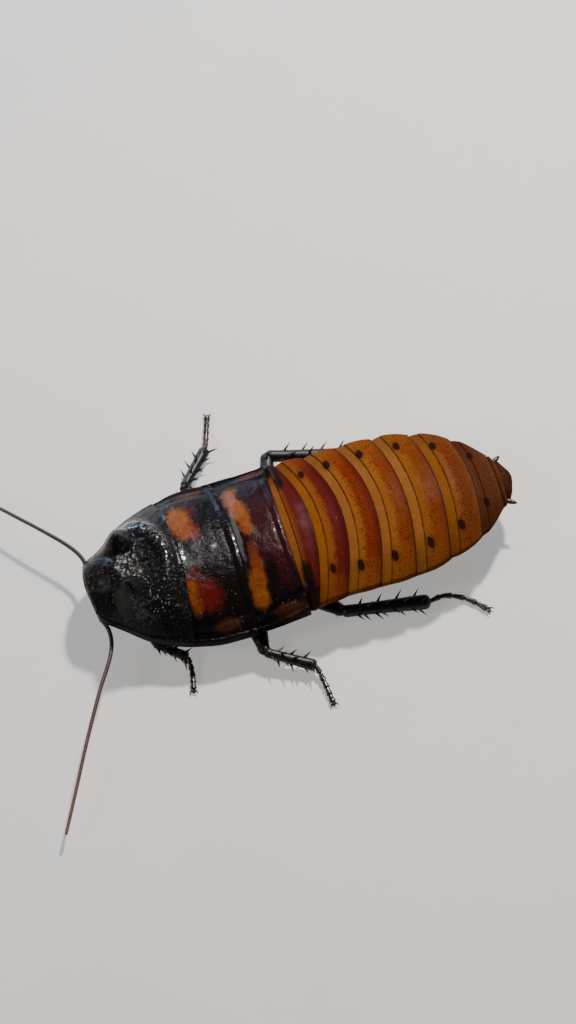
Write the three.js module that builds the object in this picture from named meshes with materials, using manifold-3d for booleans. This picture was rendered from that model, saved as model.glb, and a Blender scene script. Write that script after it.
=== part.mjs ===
// Madagascar hissing cockroach, adult male, standing: all sizes in mm.
// X is across the body with its left side positive, Y runs back from the
// front rim of the neck shield, and Z is up with the feet at zero.

import * as THREE from 'three';
import { mergeVertices } from 'three/addons/utils/BufferGeometryUtils.js';
import Module from 'manifold-3d';

const wasm = await Module();
wasm.setup();

// Driving sizes of the body.
const gap = 0.3;
const domePower = 2.1;
const domeRound = 0.9;
const stations = [
  { at: 0, half: 3.2, edge: 7.5, crown: 8.7 },
  { at: 1.2, half: 5.1, edge: 6.3, crown: 10 },
  { at: 3.5, half: 6.9, edge: 5.5, crown: 11.2 },
  { at: 8, half: 10.6, edge: 5.2, crown: 12 },
  { at: 14, half: 13, edge: 5, crown: 10.9 },
  { at: 18, half: 13.7, edge: 4.9, crown: 10.2 },
  { at: 24.3, half: 13.7, edge: 4.9, crown: 9.9 },
  { at: 30, half: 13.3, edge: 6.2, crown: 9.9 },
  { at: 34, half: 12.9, edge: 7.3, crown: 9.9 },
  { at: 38.5, half: 12.7, edge: 7.5, crown: 9.9 },
  { at: 43.5, half: 12.8, edge: 7.6, crown: 10.2 },
  { at: 48.8, half: 12.6, edge: 7.7, crown: 10.4 },
  { at: 54, half: 11.5, edge: 7.8, crown: 10.4 },
  { at: 59.5, half: 9.1, edge: 7.5, crown: 9.5 },
  { at: 63.5, half: 5.5, edge: 6.8, crown: 8.2 },
  { at: 66.5, half: 2.2, edge: 6, crown: 7 },
];

// Rear margins of the back plates: place on the midline and sideways sweep.
const backMargins = [
  { name: 'pronotum', at: 14.7, bow: -1.3 },
  { name: 'mesonotum', at: 23.4, bow: -0.7 },
  { name: 'metanotum', at: 30.8, bow: 0.3 },
  { name: 'tergite_1', at: 35.1, bow: -2.6 },
  { name: 'tergite_2', at: 39.9, bow: -2.9 },
  { name: 'tergite_3', at: 44.8, bow: -2.6 },
  { name: 'tergite_4', at: 49.7, bow: -1.9 },
  { name: 'tergite_5', at: 55, bow: -1.6 },
  { name: 'tergite_6', at: 60.4, bow: -1.2 },
  { name: 'tergite_7', at: 64.1, bow: -0.1 },
  { name: 'tergite_8', at: 65, bow: -0.2 },
  { name: 'supra_anal_plate', at: 66.5, bow: -0.6 },
];

// Rear margins of the belly plates, in the same terms.
const bellyMargins = [
  { name: 'sternite_2', at: 36.6, bow: -0.7 },
  { name: 'sternite_3', at: 41.6, bow: -0.7 },
  { name: 'sternite_4', at: 46.6, bow: -0.7 },
  { name: 'sternite_5', at: 51.6, bow: -0.7 },
  { name: 'sternite_6', at: 56.6, bow: -0.7 },
  { name: 'sternite_7', at: 60.6, bow: -0.7 },
  { name: 'subgenital_plate', at: 65.6, bow: -0.8 },
];

const plateStep = 0.4;
const plateInset = 0.25;
const sideWall = 0.9;
const notumEdgeDepth = 0.7;
const notumDepth = 0.6;
const shieldDepth = 1.5;
const bellyKeel = 3.4;
const thoraxKeel = 3.6;

// Neck shield relief: two horns with a pit and a crest between them, a sunken
// disc behind and the ridge round it.
const hornSide = 4.2;
const hornAt = 6.0;
const hornInward = 2.4;
const hornOutward = 4.4;
const hornForward = 2.5;
const hornBackward = 3.3;
const hornHeight = 2.9;
const pitAt = 6.4;
const pitReach = [2.2, 2.0];
const pitSink = 0.5;
const crestAt = 4.1;
const crestReach = [3.4, 1.5];
const crestHeight = 0.45;
const discAt = 8.6;
const discHalf = 7.2;
const discLength = 4.1;
const discSink = 0.9;
const ridgeHeight = 0.65;
const ridgeBroad = 0.2;

// Head, upright under the shield.
const headCentre = [0, 2.9, 5.0];
const headReach = [3.1, 1.75, 3.0];
const eyeCentre = [2.55, 2.75, 6.4];
const eyeReach = [1.1, 1.0, 1.45];

// Thicknesses of the limbs.
const antennaWide = 0.36;
const antennaTip = 0.26;
const spineRoot = 0.36;
const tibiaHindStout = 1.18;

const colours = {
  shield: 0x15120f,
  thorax: 0x4a1a12,
  abdomen: 0xb4692a,
  belly: 0x6e3c1c,
  limb: 0x120e0c,
  foot: 0x1a120d,
  head: 0x1c120d,
  eye: 0x080606,
  feeler: 0x5a2f1a,
};

// Small helpers.
const clamp = (value, low, high) => Math.min(high, Math.max(low, value));
const mix = (a, b, t) => a + (b - a) * t;
const smooth = (low, high, value) => {
  const t = clamp((value - low) / (high - low), 0, 1);
  return t * t * (3 - 2 * t);
};
const bump = (distance) => (distance < 1 ? (1 - distance * distance) ** 2 : 0);

// A smooth line through stations that never overshoots them.
function flowing(places, values) {
  const steps = places.slice(1).map((place, i) => place - places[i]);
  const slopes = steps.map((step, i) => (values[i + 1] - values[i]) / step);
  const lean = values.map((_, i) => {
    if (i === 0) return slopes[0];
    if (i === slopes.length) return slopes[i - 1];
    if (slopes[i - 1] * slopes[i] <= 0) return 0;
    const before = 2 * steps[i] + steps[i - 1];
    const after = steps[i] + 2 * steps[i - 1];
    return (before + after) / (before / slopes[i - 1] + after / slopes[i]);
  });
  return (place) => {
    let i = 0;
    while (i < steps.length - 1 && place > places[i + 1]) i += 1;
    const t = (place - places[i]) / steps[i];
    const start = (1 + 2 * t) * (1 - t) ** 2 * values[i];
    const finish = t * t * (3 - 2 * t) * values[i + 1];
    const leaveBy = t * (1 - t) ** 2 * steps[i] * lean[i];
    const arriveBy = t * t * (t - 1) * steps[i] * lean[i + 1];
    return start + finish + leaveBy + arriveBy;
  };
}

const places = stations.map((station) => station.at);
const half = flowing(places, stations.map((station) => station.half));
const edge = flowing(places, stations.map((station) => station.edge));
const crown = flowing(places, stations.map((station) => station.crown));

const dome = (u) => Math.max(0, 1 - Math.abs(u) ** domePower) ** domeRound;
const dorsal = (u, s) => edge(s) + (crown(s) - edge(s)) * dome(u);
const midLevel = (s) => edge(s) - sideWall;

function shellDepth(u, s) {
  const deep = mix(shieldDepth, notumDepth, smooth(13.8, 14.8, s));
  return notumEdgeDepth + deep * dome(u);
}

// Height that the horns, the pit, the ridge and the disc add to the neck shield.
function relief(x, s) {
  const aside = Math.abs(x) - hornSide;
  const beyond = s - hornAt;
  const across = aside / (aside < 0 ? hornInward : hornOutward);
  const along = beyond / (beyond < 0 ? hornForward : hornBackward);
  const horn = hornHeight * bump(Math.hypot(across, along));
  const pit = pitSink * bump(Math.hypot(x / pitReach[0], (s - pitAt) / pitReach[1]));
  const crest = crestHeight * bump(Math.hypot(x / crestReach[0], (s - crestAt) / crestReach[1]));
  const disc = Math.hypot(x / discHalf, (s - discAt) / discLength);
  const sunk = -discSink * bump(disc / 0.95);
  const behind = smooth(4.5, 7.5, s);
  const ridge = ridgeHeight * behind * bump(Math.abs(disc - 1.02) / (2 * ridgeBroad));
  return horn - pit + crest + sunk + ridge;
}

// Solids and shapes.
function closed(shape) {
  shape.deleteAttribute('normal');
  shape.deleteAttribute('uv');
  const merged = mergeVertices(shape, 1e-4);
  const old = merged.index.array;
  const kept = [];
  for (let i = 0; i < old.length; i += 3) {
    const [a, b, c] = [old[i], old[i + 1], old[i + 2]];
    if (a !== b && b !== c && c !== a) kept.push(a, b, c);
  }
  merged.setIndex(kept);
  return facingOut(merged);
}

// Turns every triangle over when the shape is inside out.
function facingOut(shape) {
  const spot = shape.attributes.position;
  const index = shape.index.array;
  const corner = (i) => new THREE.Vector3().fromBufferAttribute(spot, index[i]);
  let volume = 0;
  for (let i = 0; i < index.length; i += 3) {
    volume += corner(i).dot(corner(i + 1).cross(corner(i + 2)));
  }
  if (volume < 0) {
    const turned = [];
    for (let i = 0; i < index.length; i += 3) turned.push(index[i], index[i + 2], index[i + 1]);
    shape.setIndex(turned);
  }
  return shape;
}

function toSolid(shape) {
  return new wasm.Manifold(new wasm.Mesh({
    numProp: 3,
    vertProperties: new Float32Array(shape.attributes.position.array),
    triVerts: new Uint32Array(shape.index.array),
  }));
}

function largest(solid) {
  return solid.decompose().reduce((a, b) => (b.volume() > a.volume() ? b : a));
}

function toShape(solid) {
  const mesh = largest(solid).getMesh();
  const shape = new THREE.BufferGeometry();
  shape.setAttribute('position', new THREE.BufferAttribute(new Float32Array(mesh.vertProperties), 3));
  shape.setIndex(Array.from(mesh.triVerts));
  return shape;
}

// A block bent by a rule of its three fractions.
function bent(across, along, deep, rule) {
  const shape = new THREE.BoxGeometry(1, 1, 1, across, along, deep);
  const spot = shape.attributes.position;
  for (let i = 0; i < spot.count; i += 1) {
    spot.setXYZ(i, ...rule(spot.getX(i) + 0.5, spot.getY(i) + 0.5, spot.getZ(i) + 0.5));
  }
  return closed(shape);
}

function ball(centre, reach, sides, rings, pinch = () => 1) {
  const shape = new THREE.SphereGeometry(1, sides, rings);
  shape.rotateX(Math.PI / 2);
  const spot = shape.attributes.position;
  for (let i = 0; i < spot.count; i += 1) {
    const z = spot.getZ(i);
    const x = spot.getX(i) * reach[0] * pinch(z);
    spot.setXYZ(i, centre[0] + x, centre[1] + spot.getY(i) * reach[1], centre[2] + z * reach[2]);
  }
  return closed(shape);
}

// Three directions for a limb: along it, level across it, and over it.
function limbAxes(from, to) {
  const along = new THREE.Vector3().subVectors(to, from).normalize();
  const side = new THREE.Vector3().crossVectors(along, new THREE.Vector3(0, 0, 1)).normalize();
  const over = new THREE.Vector3().crossVectors(side, along);
  return { along, side, over };
}

// A turned limb from one point to another, flattened from above.
function bone(from, to, radii, flat, sides = 8) {
  const { along, side, over } = limbAxes(from, to);
  const length = from.distanceTo(to);
  const profile = radii.map(([t, r]) => new THREE.Vector2(r, t * length));
  const shape = new THREE.LatheGeometry(profile, sides);
  const turn = new THREE.Matrix4().makeBasis(side, along, over.clone().multiplyScalar(flat));
  shape.applyMatrix4(turn);
  shape.translate(from.x, from.y, from.z);
  return closed(shape);
}

// A long round stem along a curve.
function stem(points, wide, tip, sides, rings) {
  const path = new THREE.CatmullRomCurve3(points);
  const shape = new THREE.CylinderGeometry(1, 1, 1, sides, rings);
  const spot = shape.attributes.position;
  for (let i = 0; i < spot.count; i += 1) {
    const t = clamp(spot.getY(i) + 0.5, 0, 1);
    const here = path.getPointAt(t);
    const ahead = here.clone().add(path.getTangentAt(t));
    const { side, over } = limbAxes(here, ahead);
    const r = mix(wide, tip, t);
    here.addScaledVector(side, spot.getX(i) * r).addScaledVector(over, spot.getZ(i) * r);
    spot.setXYZ(i, here.x, here.y, here.z);
  }
  return closed(shape);
}

// Cuts away all that lies beyond a plane.
function cutBeyond(solid, point, normal) {
  const block = new THREE.BoxGeometry(60, 60, 60);
  block.translate(0, 0, 30);
  const facing = new THREE.Quaternion();
  facing.setFromUnitVectors(new THREE.Vector3(0, 0, 1), normal.clone().normalize());
  block.applyQuaternion(facing);
  block.translate(point.x, point.y, point.z);
  return solid.subtract(toSolid(closed(block)));
}

// Seeded variation, so that no two spines match.
let seed = 20731;
function vary(low, high) {
  seed = (seed * 16807) % 2147483647;
  return mix(low, high, seed / 2147483647);
}

const group = new THREE.Group();
function addNode(name, shape, colour, roughness = 0.35) {
  shape.computeVertexNormals();
  const finish = new THREE.MeshStandardMaterial({ color: colour, roughness, metalness: 0 });
  const mesh = new THREE.Mesh(shape, finish);
  mesh.name = name;
  group.add(mesh);
}

// Back plates.
const widen = (a) => {
  const even = 2 * a - 1;
  return mix(even, Math.sin((even * Math.PI) / 2), 0.6);
};

function marginAt(margin, u) {
  return margin.at + margin.bow * u * u;
}

// A plate of the back: its front edge tucks in a little behind the one before.
function backPlate(index, across, along, under, grow = 0) {
  const rear = backMargins[index];
  const front = index > 0 ? backMargins[index - 1] : { at: 0 - gap, bow: 0.6 };
  const tuck = index > 0 ? 1 : 0;
  return bent(across, along, 1, (a, b, c) => {
    const u = widen(a);
    const from = marginAt(front, u) + gap - grow;
    const s = clamp(mix(from, marginAt(rear, u) + grow, b), 0, 66.5);
    const tucked = tuck * (1 - smooth(0, 0.45, b));
    const x = u * (half(s) - plateInset * tucked + grow);
    const lift = index === 0 ? relief(x, s) : 0;
    const top = dorsal(u, s) + lift - plateStep * tucked + grow;
    return [x, s, c > 0.5 ? top : under(u, s) - grow];
  });
}

const shellUnder = (u, s) => dorsal(u, s) - shellDepth(u, s);
const slabUnder = (u, s) => midLevel(s);

function backPlateFor(index, grow = 0) {
  if (index === 0) return backPlate(index, 30, 20, shellUnder, grow);
  if (index < 3) return backPlate(index, 20, 5, shellUnder, grow);
  return backPlate(index, 18, index < 10 ? 4 : 2, slabUnder, grow);
}

backMargins.forEach((margin, index) => {
  const colour = index === 0 ? colours.shield : index < 3 ? colours.thorax : colours.abdomen;
  addNode(margin.name, backPlateFor(index), colour);
});

// Body of the thorax under the three shields, with the neck at its front.
const neckAt = headCentre[1] + headReach[1] + gap;
function thoraxUnder(grow = 0) {
  return bent(12, 9, 2, (a, b, c) => {
    const v = widen(a);
    const rearEnd = marginAt(backMargins[2], v * 0.86);
    const s = mix(neckAt - grow, rearEnd + grow, b);
    const spread = mix(0.42, 0.76, smooth(neckAt, 13, s)) + 0.08 * smooth(20, 30, s);
    const u = v * spread;
    const top = shellUnder(u, s) - gap + grow;
    const keel = thoraxKeel + 2 * (1 - smooth(neckAt, 10, s));
    const side = keel + 1.5 * Math.abs(v) ** 3 - grow;
    return [u * half(s) + Math.sign(v) * grow * Math.abs(v), s, mix(Math.min(side, top - 1), top, c)];
  });
}
addNode('thorax_underside', thoraxUnder(), colours.belly, 0.5);

// Belly plates.
function bellyPlate(index, grow = 0) {
  const rear = bellyMargins[index];
  const front = index > 0 ? bellyMargins[index - 1] : backMargins[2];
  const last = index === bellyMargins.length - 1;
  return bent(12, 2, 1, (a, b, c) => {
    const v = widen(a);
    const from = marginAt(front, v) + gap - grow;
    const s = mix(from, marginAt(rear, v) + grow, b);
    const tucked = index > 0 ? 1 - smooth(0, 0.5, b) : 0;
    const wide = half(s) * 0.95 - 0.15 * tucked + grow;
    const top = midLevel(s) - gap + grow;
    const keel = mix(bellyKeel, 5.2, smooth(57, 66, s)) + 0.25 * tucked;
    const skirt = midLevel(s) - gap - 0.6;
    const low = mix(keel, skirt, Math.abs(v) ** 2.6);
    return [v * wide, s, c > 0.5 ? top : Math.min(low, last ? top - 0.6 : low) - grow];
  });
}
bellyMargins.forEach((margin, index) => {
  addNode(margin.name, bellyPlate(index), colours.belly, 0.45);
});

// Head, eyes and mouth parts.
const facePinch = (z) => 1 - 0.36 * smooth(0.3, -1, z) - 0.1 * smooth(0.4, 1, z);
function headShape(grow = 0) {
  const reach = headReach.map((value) => value + grow);
  return ball(headCentre, reach, 20, 14, facePinch);
}
addNode('head', headShape(), colours.head, 0.3);
const headGrown = toSolid(headShape(gap));

for (const [word, sign] of [['left', 1], ['right', -1]]) {
  const centre = [sign * eyeCentre[0], eyeCentre[1], eyeCentre[2]];
  const eye = toSolid(ball(centre, eyeReach, 12, 8)).subtract(headGrown);
  addNode(`eye_${word}`, toShape(eye), colours.eye, 0.15);
}

// A chain of short segments as one solid, cut clear of the head.
function chain(points, radii, sides, clear) {
  let solid = null;
  for (let i = 0; i + 1 < points.length; i += 1) {
    const r = radii[i];
    const profile = [[-0.02, 0], [0.02, r * 0.7], [0.7, r], [1.04, 0]];
    const piece = toSolid(bone(points[i], points[i + 1], profile, 1, sides));
    solid = solid ? solid.add(piece) : piece;
  }
  return clear ? solid.subtract(clear) : solid;
}
const point = (x, s, z) => new THREE.Vector3(x, s, z);

for (const [word, sign] of [['left', 1], ['right', -1]]) {
  const palp = [[1.2, 3.4, 2.9], [2.4, 3.4, 2.4], [2.9, 2.8, 2.5], [2.7, 2.3, 1.7], [2.3, 2.1, 0.9]];
  const joints = palp.map(([x, s, z]) => point(sign * x, s, z));
  const solid = chain(joints, [0.34, 0.34, 0.32, 0.34], 6, headGrown);
  addNode(`maxillary_palp_${word}`, toShape(solid), colours.head, 0.35);
}
let lip = toSolid(ball([0, 4.3, 2.6], [1.25, 0.75, 1.2], 10, 6));
for (const sign of [1, -1]) {
  const small = [[0.7, 4.3, 2.2], [1.3, 3.9, 1.4], [1.2, 3.1, 0.9]];
  lip = lip.add(chain(small.map(([x, s, z]) => point(sign * x, s, z)), [0.3, 0.3], 6, null));
}
addNode('labium', toShape(lip.subtract(headGrown).subtract(toSolid(thoraxUnder(gap)))), colours.head, 0.4);

// Feelers: a jointed base, then a long thread in two lengths.
const feelers = {
  left: {
    base: [[1.5, 1.7, 5.2], [2.8, 1.0, 4.9], [4.3, 1.2, 4.8]],
    near: [
      [4.6, 1.35, 4.8], [6.3, 1.8, 4.9], [8.8, 1.6, 5.1], [11.6, 0.5, 5.3], [15.8, -2, 5.1], [20, -4.3, 4.7],
    ],
    far: [[20.26, -4.44, 4.67], [24.2, -6.5, 4.2], [29.7, -9.3, 3.4], [35.6, -12.4, 2.4]],
  },
  right: {
    base: [[-1.5, 1.7, 5.2], [-2.9, 1.1, 4.9], [-4.6, 1.2, 4.85]],
    near: [[-4.9, 1.25, 4.87], [-6.9, 1.0, 5], [-9.5, -0.5, 5.2], [-12.8, -3.2, 5.2], [-16.4, -6.3, 5]],
    far: [[-16.63, -6.5, 4.97], [-19.5, -8.9, 4.6], [-25, -13.6, 3.7], [-32, -19.4, 2.4]],
  },
};
const toPoints = (list) => list.map(([x, s, z]) => point(x, s, z));
for (const [word, feeler] of Object.entries(feelers)) {
  const base = chain(toPoints(feeler.base), [0.55, 0.42], 8, headGrown);
  addNode(`antenna_base_${word}`, toShape(base), colours.limb, 0.4);
  const midWide = mix(antennaWide, antennaTip, 0.5);
  const near = stem(toPoints(feeler.near), antennaWide, midWide, 6, 22);
  addNode(`antenna_near_${word}`, near, colours.feeler, 0.5);
  const far = stem(toPoints(feeler.far), midWide, antennaTip, 6, 18);
  addNode(`antenna_far_${word}`, far, colours.feeler, 0.5);
}

// Tail feelers.
const tailNeighbours = [9, 10, 11].map((index) => toSolid(backPlateFor(index, gap)));
tailNeighbours.push(toSolid(bellyPlate(bellyMargins.length - 1, gap)));
for (const [word, sign] of [['left', 1], ['right', -1]]) {
  const profile = [[0, 0], [0.02, 0.45], [0.55, 0.5], [0.85, 0.32], [1, 0]];
  let peg = toSolid(bone(point(sign * 2.6, 63.4, 6), point(sign * 5.3, 67.6, 5.9), profile, 0.8, 7));
  for (const neighbour of tailNeighbours) peg = peg.subtract(neighbour);
  addNode(`cercus_${word}`, toShape(peg), colours.limb, 0.4);
}

// Legs: joints of each leg, then how thick and how spiny each length is.
const legs = {
  left_fore: {
    hip: [3.0, 8.6, 4.6], elbow: [4.6, 12.4, 2.9], knee: [9.4, 7.8, 2.8], ankle: [12.5, 12.1, 1.7],
    toe: [[14.6, 12.1, 0.85], [17.2, 11.6, 0.42]], size: 0.85, spines: 7,
  },
  left_middle: {
    hip: [3.8, 18.6, 4.0], elbow: [6.2, 23.2, 2.6], knee: [15.6, 23.2, 2.5], ankle: [19.5, 29.9, 1.4],
    toe: [[22.0, 30.4, 0.7], [25.5, 30.7, 0.42]], size: 1, spines: 10,
  },
  left_hind: {
    hip: [3.6, 25.4, 4.0], elbow: [5.2, 29.8, 2.6], knee: [12.6, 36.2, 2.7], ankle: [14.2, 49.2, 1.5],
    toe: [[13.6, 51.9, 0.8], [15.0, 54.9, 0.5], [17.4, 57.2, 0.42]], size: 1.1, spines: 14,
  },
  right_fore: {
    hip: [-3.0, 8.6, 4.6], elbow: [-4.6, 12.4, 2.9], knee: [-9.4, 7.8, 2.8], ankle: [-11.0, 13.0, 1.7],
    toe: [[-11.9, 14.8, 0.85], [-12.9, 16.8, 0.42]], size: 0.85, spines: 7,
  },
  right_middle: {
    hip: [-3.8, 18.6, 4.0], elbow: [-6.2, 23.0, 2.6], knee: [-15.8, 19.2, 2.5], ankle: [-22.0, 24.2, 1.4],
    toe: [[-24.6, 25.0, 0.7], [-28.1, 26.1, 0.42]], size: 1, spines: 10,
  },
  right_hind: {
    hip: [-3.6, 25.4, 4.0], elbow: [-5.2, 29.8, 2.6], knee: [-17.2, 32.8, 2.6], ankle: [-14.0, 46.0, 1.5],
    toe: [[-13.8, 49.0, 0.8], [-14.2, 51.8, 0.5], [-14.9, 54.4, 0.42]], size: 1.1, spines: 14,
  },
};

const bisector = (a, b, c) => {
  const before = new THREE.Vector3().subVectors(b, a).normalize();
  const after = new THREE.Vector3().subVectors(c, b).normalize();
  return before.add(after).normalize();
};

// Cuts a limb square to its joint, half a gap short of the meeting plane.
function trimEnd(solid, joint, normal) {
  return cutBeyond(solid, joint.clone().addScaledVector(normal, -gap / 2), normal);
}
function trimStart(solid, joint, normal) {
  const back = normal.clone().negate();
  return cutBeyond(solid, joint.clone().addScaledVector(back, -gap / 2), back);
}

// Stiff thorns in rows along a limb, each sunk into it and leaning forward.
function thorned(solid, from, to, count, radius, length) {
  const { along, side, over } = limbAxes(from, to);
  let result = solid;
  for (let i = 0; i < count; i += 1) {
    const t = 0.16 + (0.76 * i) / Math.max(1, count - 1);
    const turn = [0.2, 2.9, -0.9, 1.5, -2.2][i % 5] + vary(-0.25, 0.25);
    const out = side.clone().multiplyScalar(Math.cos(turn)).addScaledVector(over, Math.sin(turn));
    const lean = out.clone().addScaledVector(along, vary(0.55, 0.95)).normalize();
    const root = from.clone().lerp(to, t).addScaledVector(out, radius * 0.35);
    const long = length * vary(0.8, 1.25) * (0.75 + 0.4 * t);
    const thorn = new THREE.ConeGeometry(spineRoot, long + radius * 0.5, 5);
    thorn.translate(0, (long + radius * 0.5) / 2, 0);
    const facing = new THREE.Quaternion().setFromUnitVectors(new THREE.Vector3(0, 1, 0), lean);
    thorn.applyQuaternion(facing);
    thorn.translate(root.x, root.y, root.z);
    result = result.add(toSolid(closed(thorn)));
  }
  return result;
}

// Half widths along each length of a leg of size 1, as place and width.
const coxaWidths = [[-0.08, 0], [0, 1.5], [0.3, 2.0], [0.75, 1.6], [1.12, 1.0], [1.2, 0]];
const femurWidths = [[-0.1, 0], [-0.08, 0.9], [0.2, 1.3], [0.6, 1.25], [0.95, 0.9], [1.1, 0.6], [1.12, 0]];
const tibiaWidths = [[-0.14, 0], [-0.12, 0.55], [0.1, 0.68], [0.5, 0.7], [0.93, 0.72], [1.06, 0.5], [1.08, 0]];

const floorUp = new THREE.Vector3(0, 0, -1);
const thoraxGrown = toSolid(thoraxUnder(gap));
for (const [word, leg] of Object.entries(legs)) {
  const [hip, elbow, knee, ankle] = toPoints([leg.hip, leg.elbow, leg.knee, leg.ankle]);
  const toe = toPoints(leg.toe);
  const big = leg.size;
  const elbowFace = bisector(hip, elbow, knee);
  const kneeFace = bisector(elbow, knee, ankle);
  const ankleFace = bisector(knee, ankle, toe[0]);

  const coxaProfile = coxaWidths.map(([t, r]) => [t, r * big]);
  let coxa = toSolid(bone(hip, elbow, coxaProfile, 0.6, 10));
  coxa = trimEnd(coxa.subtract(thoraxGrown), elbow, elbowFace);
  addNode(`${word}_coxa`, toShape(coxa), colours.limb);

  const femurProfile = femurWidths.map(([t, r]) => [t, r * big]);
  let femur = toSolid(bone(elbow, knee, femurProfile, 0.72, 10));
  femur = thorned(femur, elbow, knee, 3, 0.9 * big, 0.9);
  femur = trimEnd(trimStart(femur, elbow, elbowFace), knee, kneeFace);
  addNode(`${word}_femur`, toShape(femur.subtract(thoraxGrown)), colours.limb);

  const stout = big * (word.endsWith('hind') ? tibiaHindStout : 1);
  const tibiaProfile = tibiaWidths.map(([t, r]) => [t, r * stout]);
  let tibia = toSolid(bone(knee, ankle, tibiaProfile, 0.95, 8));
  tibia = thorned(tibia, knee, ankle, leg.spines, 0.68 * stout, 1.25 * big);
  tibia = trimEnd(trimStart(tibia, knee, kneeFace), ankle, ankleFace);
  tibia = cutBeyond(tibia, point(0, 0, 0.2), floorUp);
  addNode(`${word}_tibia`, toShape(tibia), colours.limb);

  const foot = [ankle, ...toe];
  const beads = [];
  for (let i = 0; i + 1 < foot.length; i += 1) {
    beads.push(foot[i]);
    if (i + 2 < foot.length || foot.length < 4) beads.push(foot[i].clone().lerp(foot[i + 1], 0.5));
  }
  beads.push(foot[foot.length - 1]);
  let tarsus = chain(beads, beads.map(() => 0.5), 6, null);
  const last = foot[foot.length - 1];
  const ahead = limbAxes(foot[foot.length - 2], last);
  tarsus = tarsus.add(toSolid(ball([last.x, last.y, 0.42], [0.62, 0.62, 0.5], 8, 6)));
  for (const sign of [1, -1]) {
    const spread = last.clone().addScaledVector(ahead.along, 1.1).addScaledVector(ahead.side, sign * 0.65);
    spread.z = 0.3;
    const claw = [[0, 0], [0.02, 0.28], [0.5, 0.25], [1, 0]];
    tarsus = tarsus.add(toSolid(bone(last, spread, claw, 1, 5)));
  }
  tarsus = trimStart(tarsus, ankle, ankleFace);
  tarsus = cutBeyond(tarsus, point(0, 0, 0), floorUp);
  addNode(`${word}_tarsus`, toShape(tarsus), colours.foot);
}

// The origin is the middle of the footprint at floor level.
const box = new THREE.Box3().setFromObject(group);
const middle = box.getCenter(new THREE.Vector3());
for (const mesh of group.children) mesh.geometry.translate(-middle.x, -middle.y, -box.min.z);

export default group;
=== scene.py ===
"""Fine surfaces, finishes, floor, lights and camera for a Madagascar hissing cockroach.

Every surface is worked out in body coordinates, in millimetres: x across the body with its
left side positive, s back from the front rim of the neck shield, z up from the floor. They
are moved to the frame's own axes, in metres, only when a mesh is made.
"""

import logging
import math
from collections.abc import Sequence
from dataclasses import dataclass, field
from enum import Enum

import bpy
import numpy as np
from mathutils import Matrix, Vector


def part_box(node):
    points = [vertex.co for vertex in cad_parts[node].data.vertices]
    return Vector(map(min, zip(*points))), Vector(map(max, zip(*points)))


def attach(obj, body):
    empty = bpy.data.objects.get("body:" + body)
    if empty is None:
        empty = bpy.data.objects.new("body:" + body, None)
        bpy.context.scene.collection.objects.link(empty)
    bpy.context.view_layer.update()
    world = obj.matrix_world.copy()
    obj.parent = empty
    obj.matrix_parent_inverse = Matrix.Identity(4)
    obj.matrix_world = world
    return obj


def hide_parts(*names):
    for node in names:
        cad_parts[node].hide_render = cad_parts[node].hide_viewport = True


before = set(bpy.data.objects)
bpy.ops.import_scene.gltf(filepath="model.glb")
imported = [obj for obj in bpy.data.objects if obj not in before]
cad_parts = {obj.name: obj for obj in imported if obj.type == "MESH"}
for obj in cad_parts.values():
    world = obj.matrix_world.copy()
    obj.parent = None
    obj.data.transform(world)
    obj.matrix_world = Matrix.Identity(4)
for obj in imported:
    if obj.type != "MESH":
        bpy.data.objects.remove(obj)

LOG = logging.getLogger("cockroach")
MM = 0.001
PHOTO = (576, 1024)

SIDE_TURN = 0.97
HAIR_THICK = 0.028
SPINE_THICK = 0.26
FLOOR_ROOM = 0.15
FOOT_RINGS = 120
TABLE_SIZE = 64
TABLE_SHIFT = 500.0

Point = tuple[float, float, float]


# Small sums.
def smooth(low: float, high: float, value: np.ndarray) -> np.ndarray:
    """Rises from 0 at low to 1 at high along the curve 3t^2 - 2t^3."""
    t = np.clip((np.asarray(value, float) - low) / (high - low), 0.0, 1.0)
    return t * t * (3.0 - 2.0 * t)


def mix(a: float, b: float, t: np.ndarray) -> np.ndarray:
    """The value a share t of the way from a to b."""
    return a + (b - a) * t


def bump(distance: np.ndarray) -> np.ndarray:
    """A round hill: (1 - d^2)^2 inside distance 1 and nothing outside."""
    return np.where(distance < 1.0, (1.0 - np.minimum(distance, 1.0) ** 2) ** 2, 0.0)


def ridge(value: np.ndarray, at: float, wide: float) -> np.ndarray:
    """A bell of the given half width at one value: exp(-((v - at) / wide)^2)."""
    return np.exp(-(((value - at) / wide) ** 2))


def widen(even: np.ndarray) -> np.ndarray:
    """Crowds evenly spaced places towards both ends: 0.4 v + 0.6 sin(pi v / 2)."""
    return 0.4 * even + 0.6 * np.sin(even * math.pi / 2.0)


def lattice(x: np.ndarray, y: np.ndarray, size: float, seed: int) -> np.ndarray:
    """Smooth random hills between -1 and 1, one to a cell.

    A seeded table of numbers stands on the corners of square cells, and the value between
    them is blended along the curve 3t^2 - 2t^3 both ways.

    Args:
        x: Places one way, in mm.
        y: Places the other way, in mm.
        size: Length of a cell, in mm.
        seed: Which table of numbers.

    Returns:
        Heights of the same shape as x.
    """
    table = np.random.default_rng(seed).uniform(-1.0, 1.0, (TABLE_SIZE, TABLE_SIZE))
    gx, gy = np.asarray(x) / size + TABLE_SHIFT, np.asarray(y) / size + TABLE_SHIFT
    ix, iy = np.floor(gx).astype(int), np.floor(gy).astype(int)
    tx, ty = gx - ix, gy - iy
    tx, ty = tx * tx * (3 - 2 * tx), ty * ty * (3 - 2 * ty)
    left, right = ix % TABLE_SIZE, (ix + 1) % TABLE_SIZE
    low, high = iy % TABLE_SIZE, (iy + 1) % TABLE_SIZE
    near = table[left, low] * (1 - tx) + table[right, low] * tx
    far = table[left, high] * (1 - tx) + table[right, high] * tx
    return near * (1 - ty) + far * ty


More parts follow.
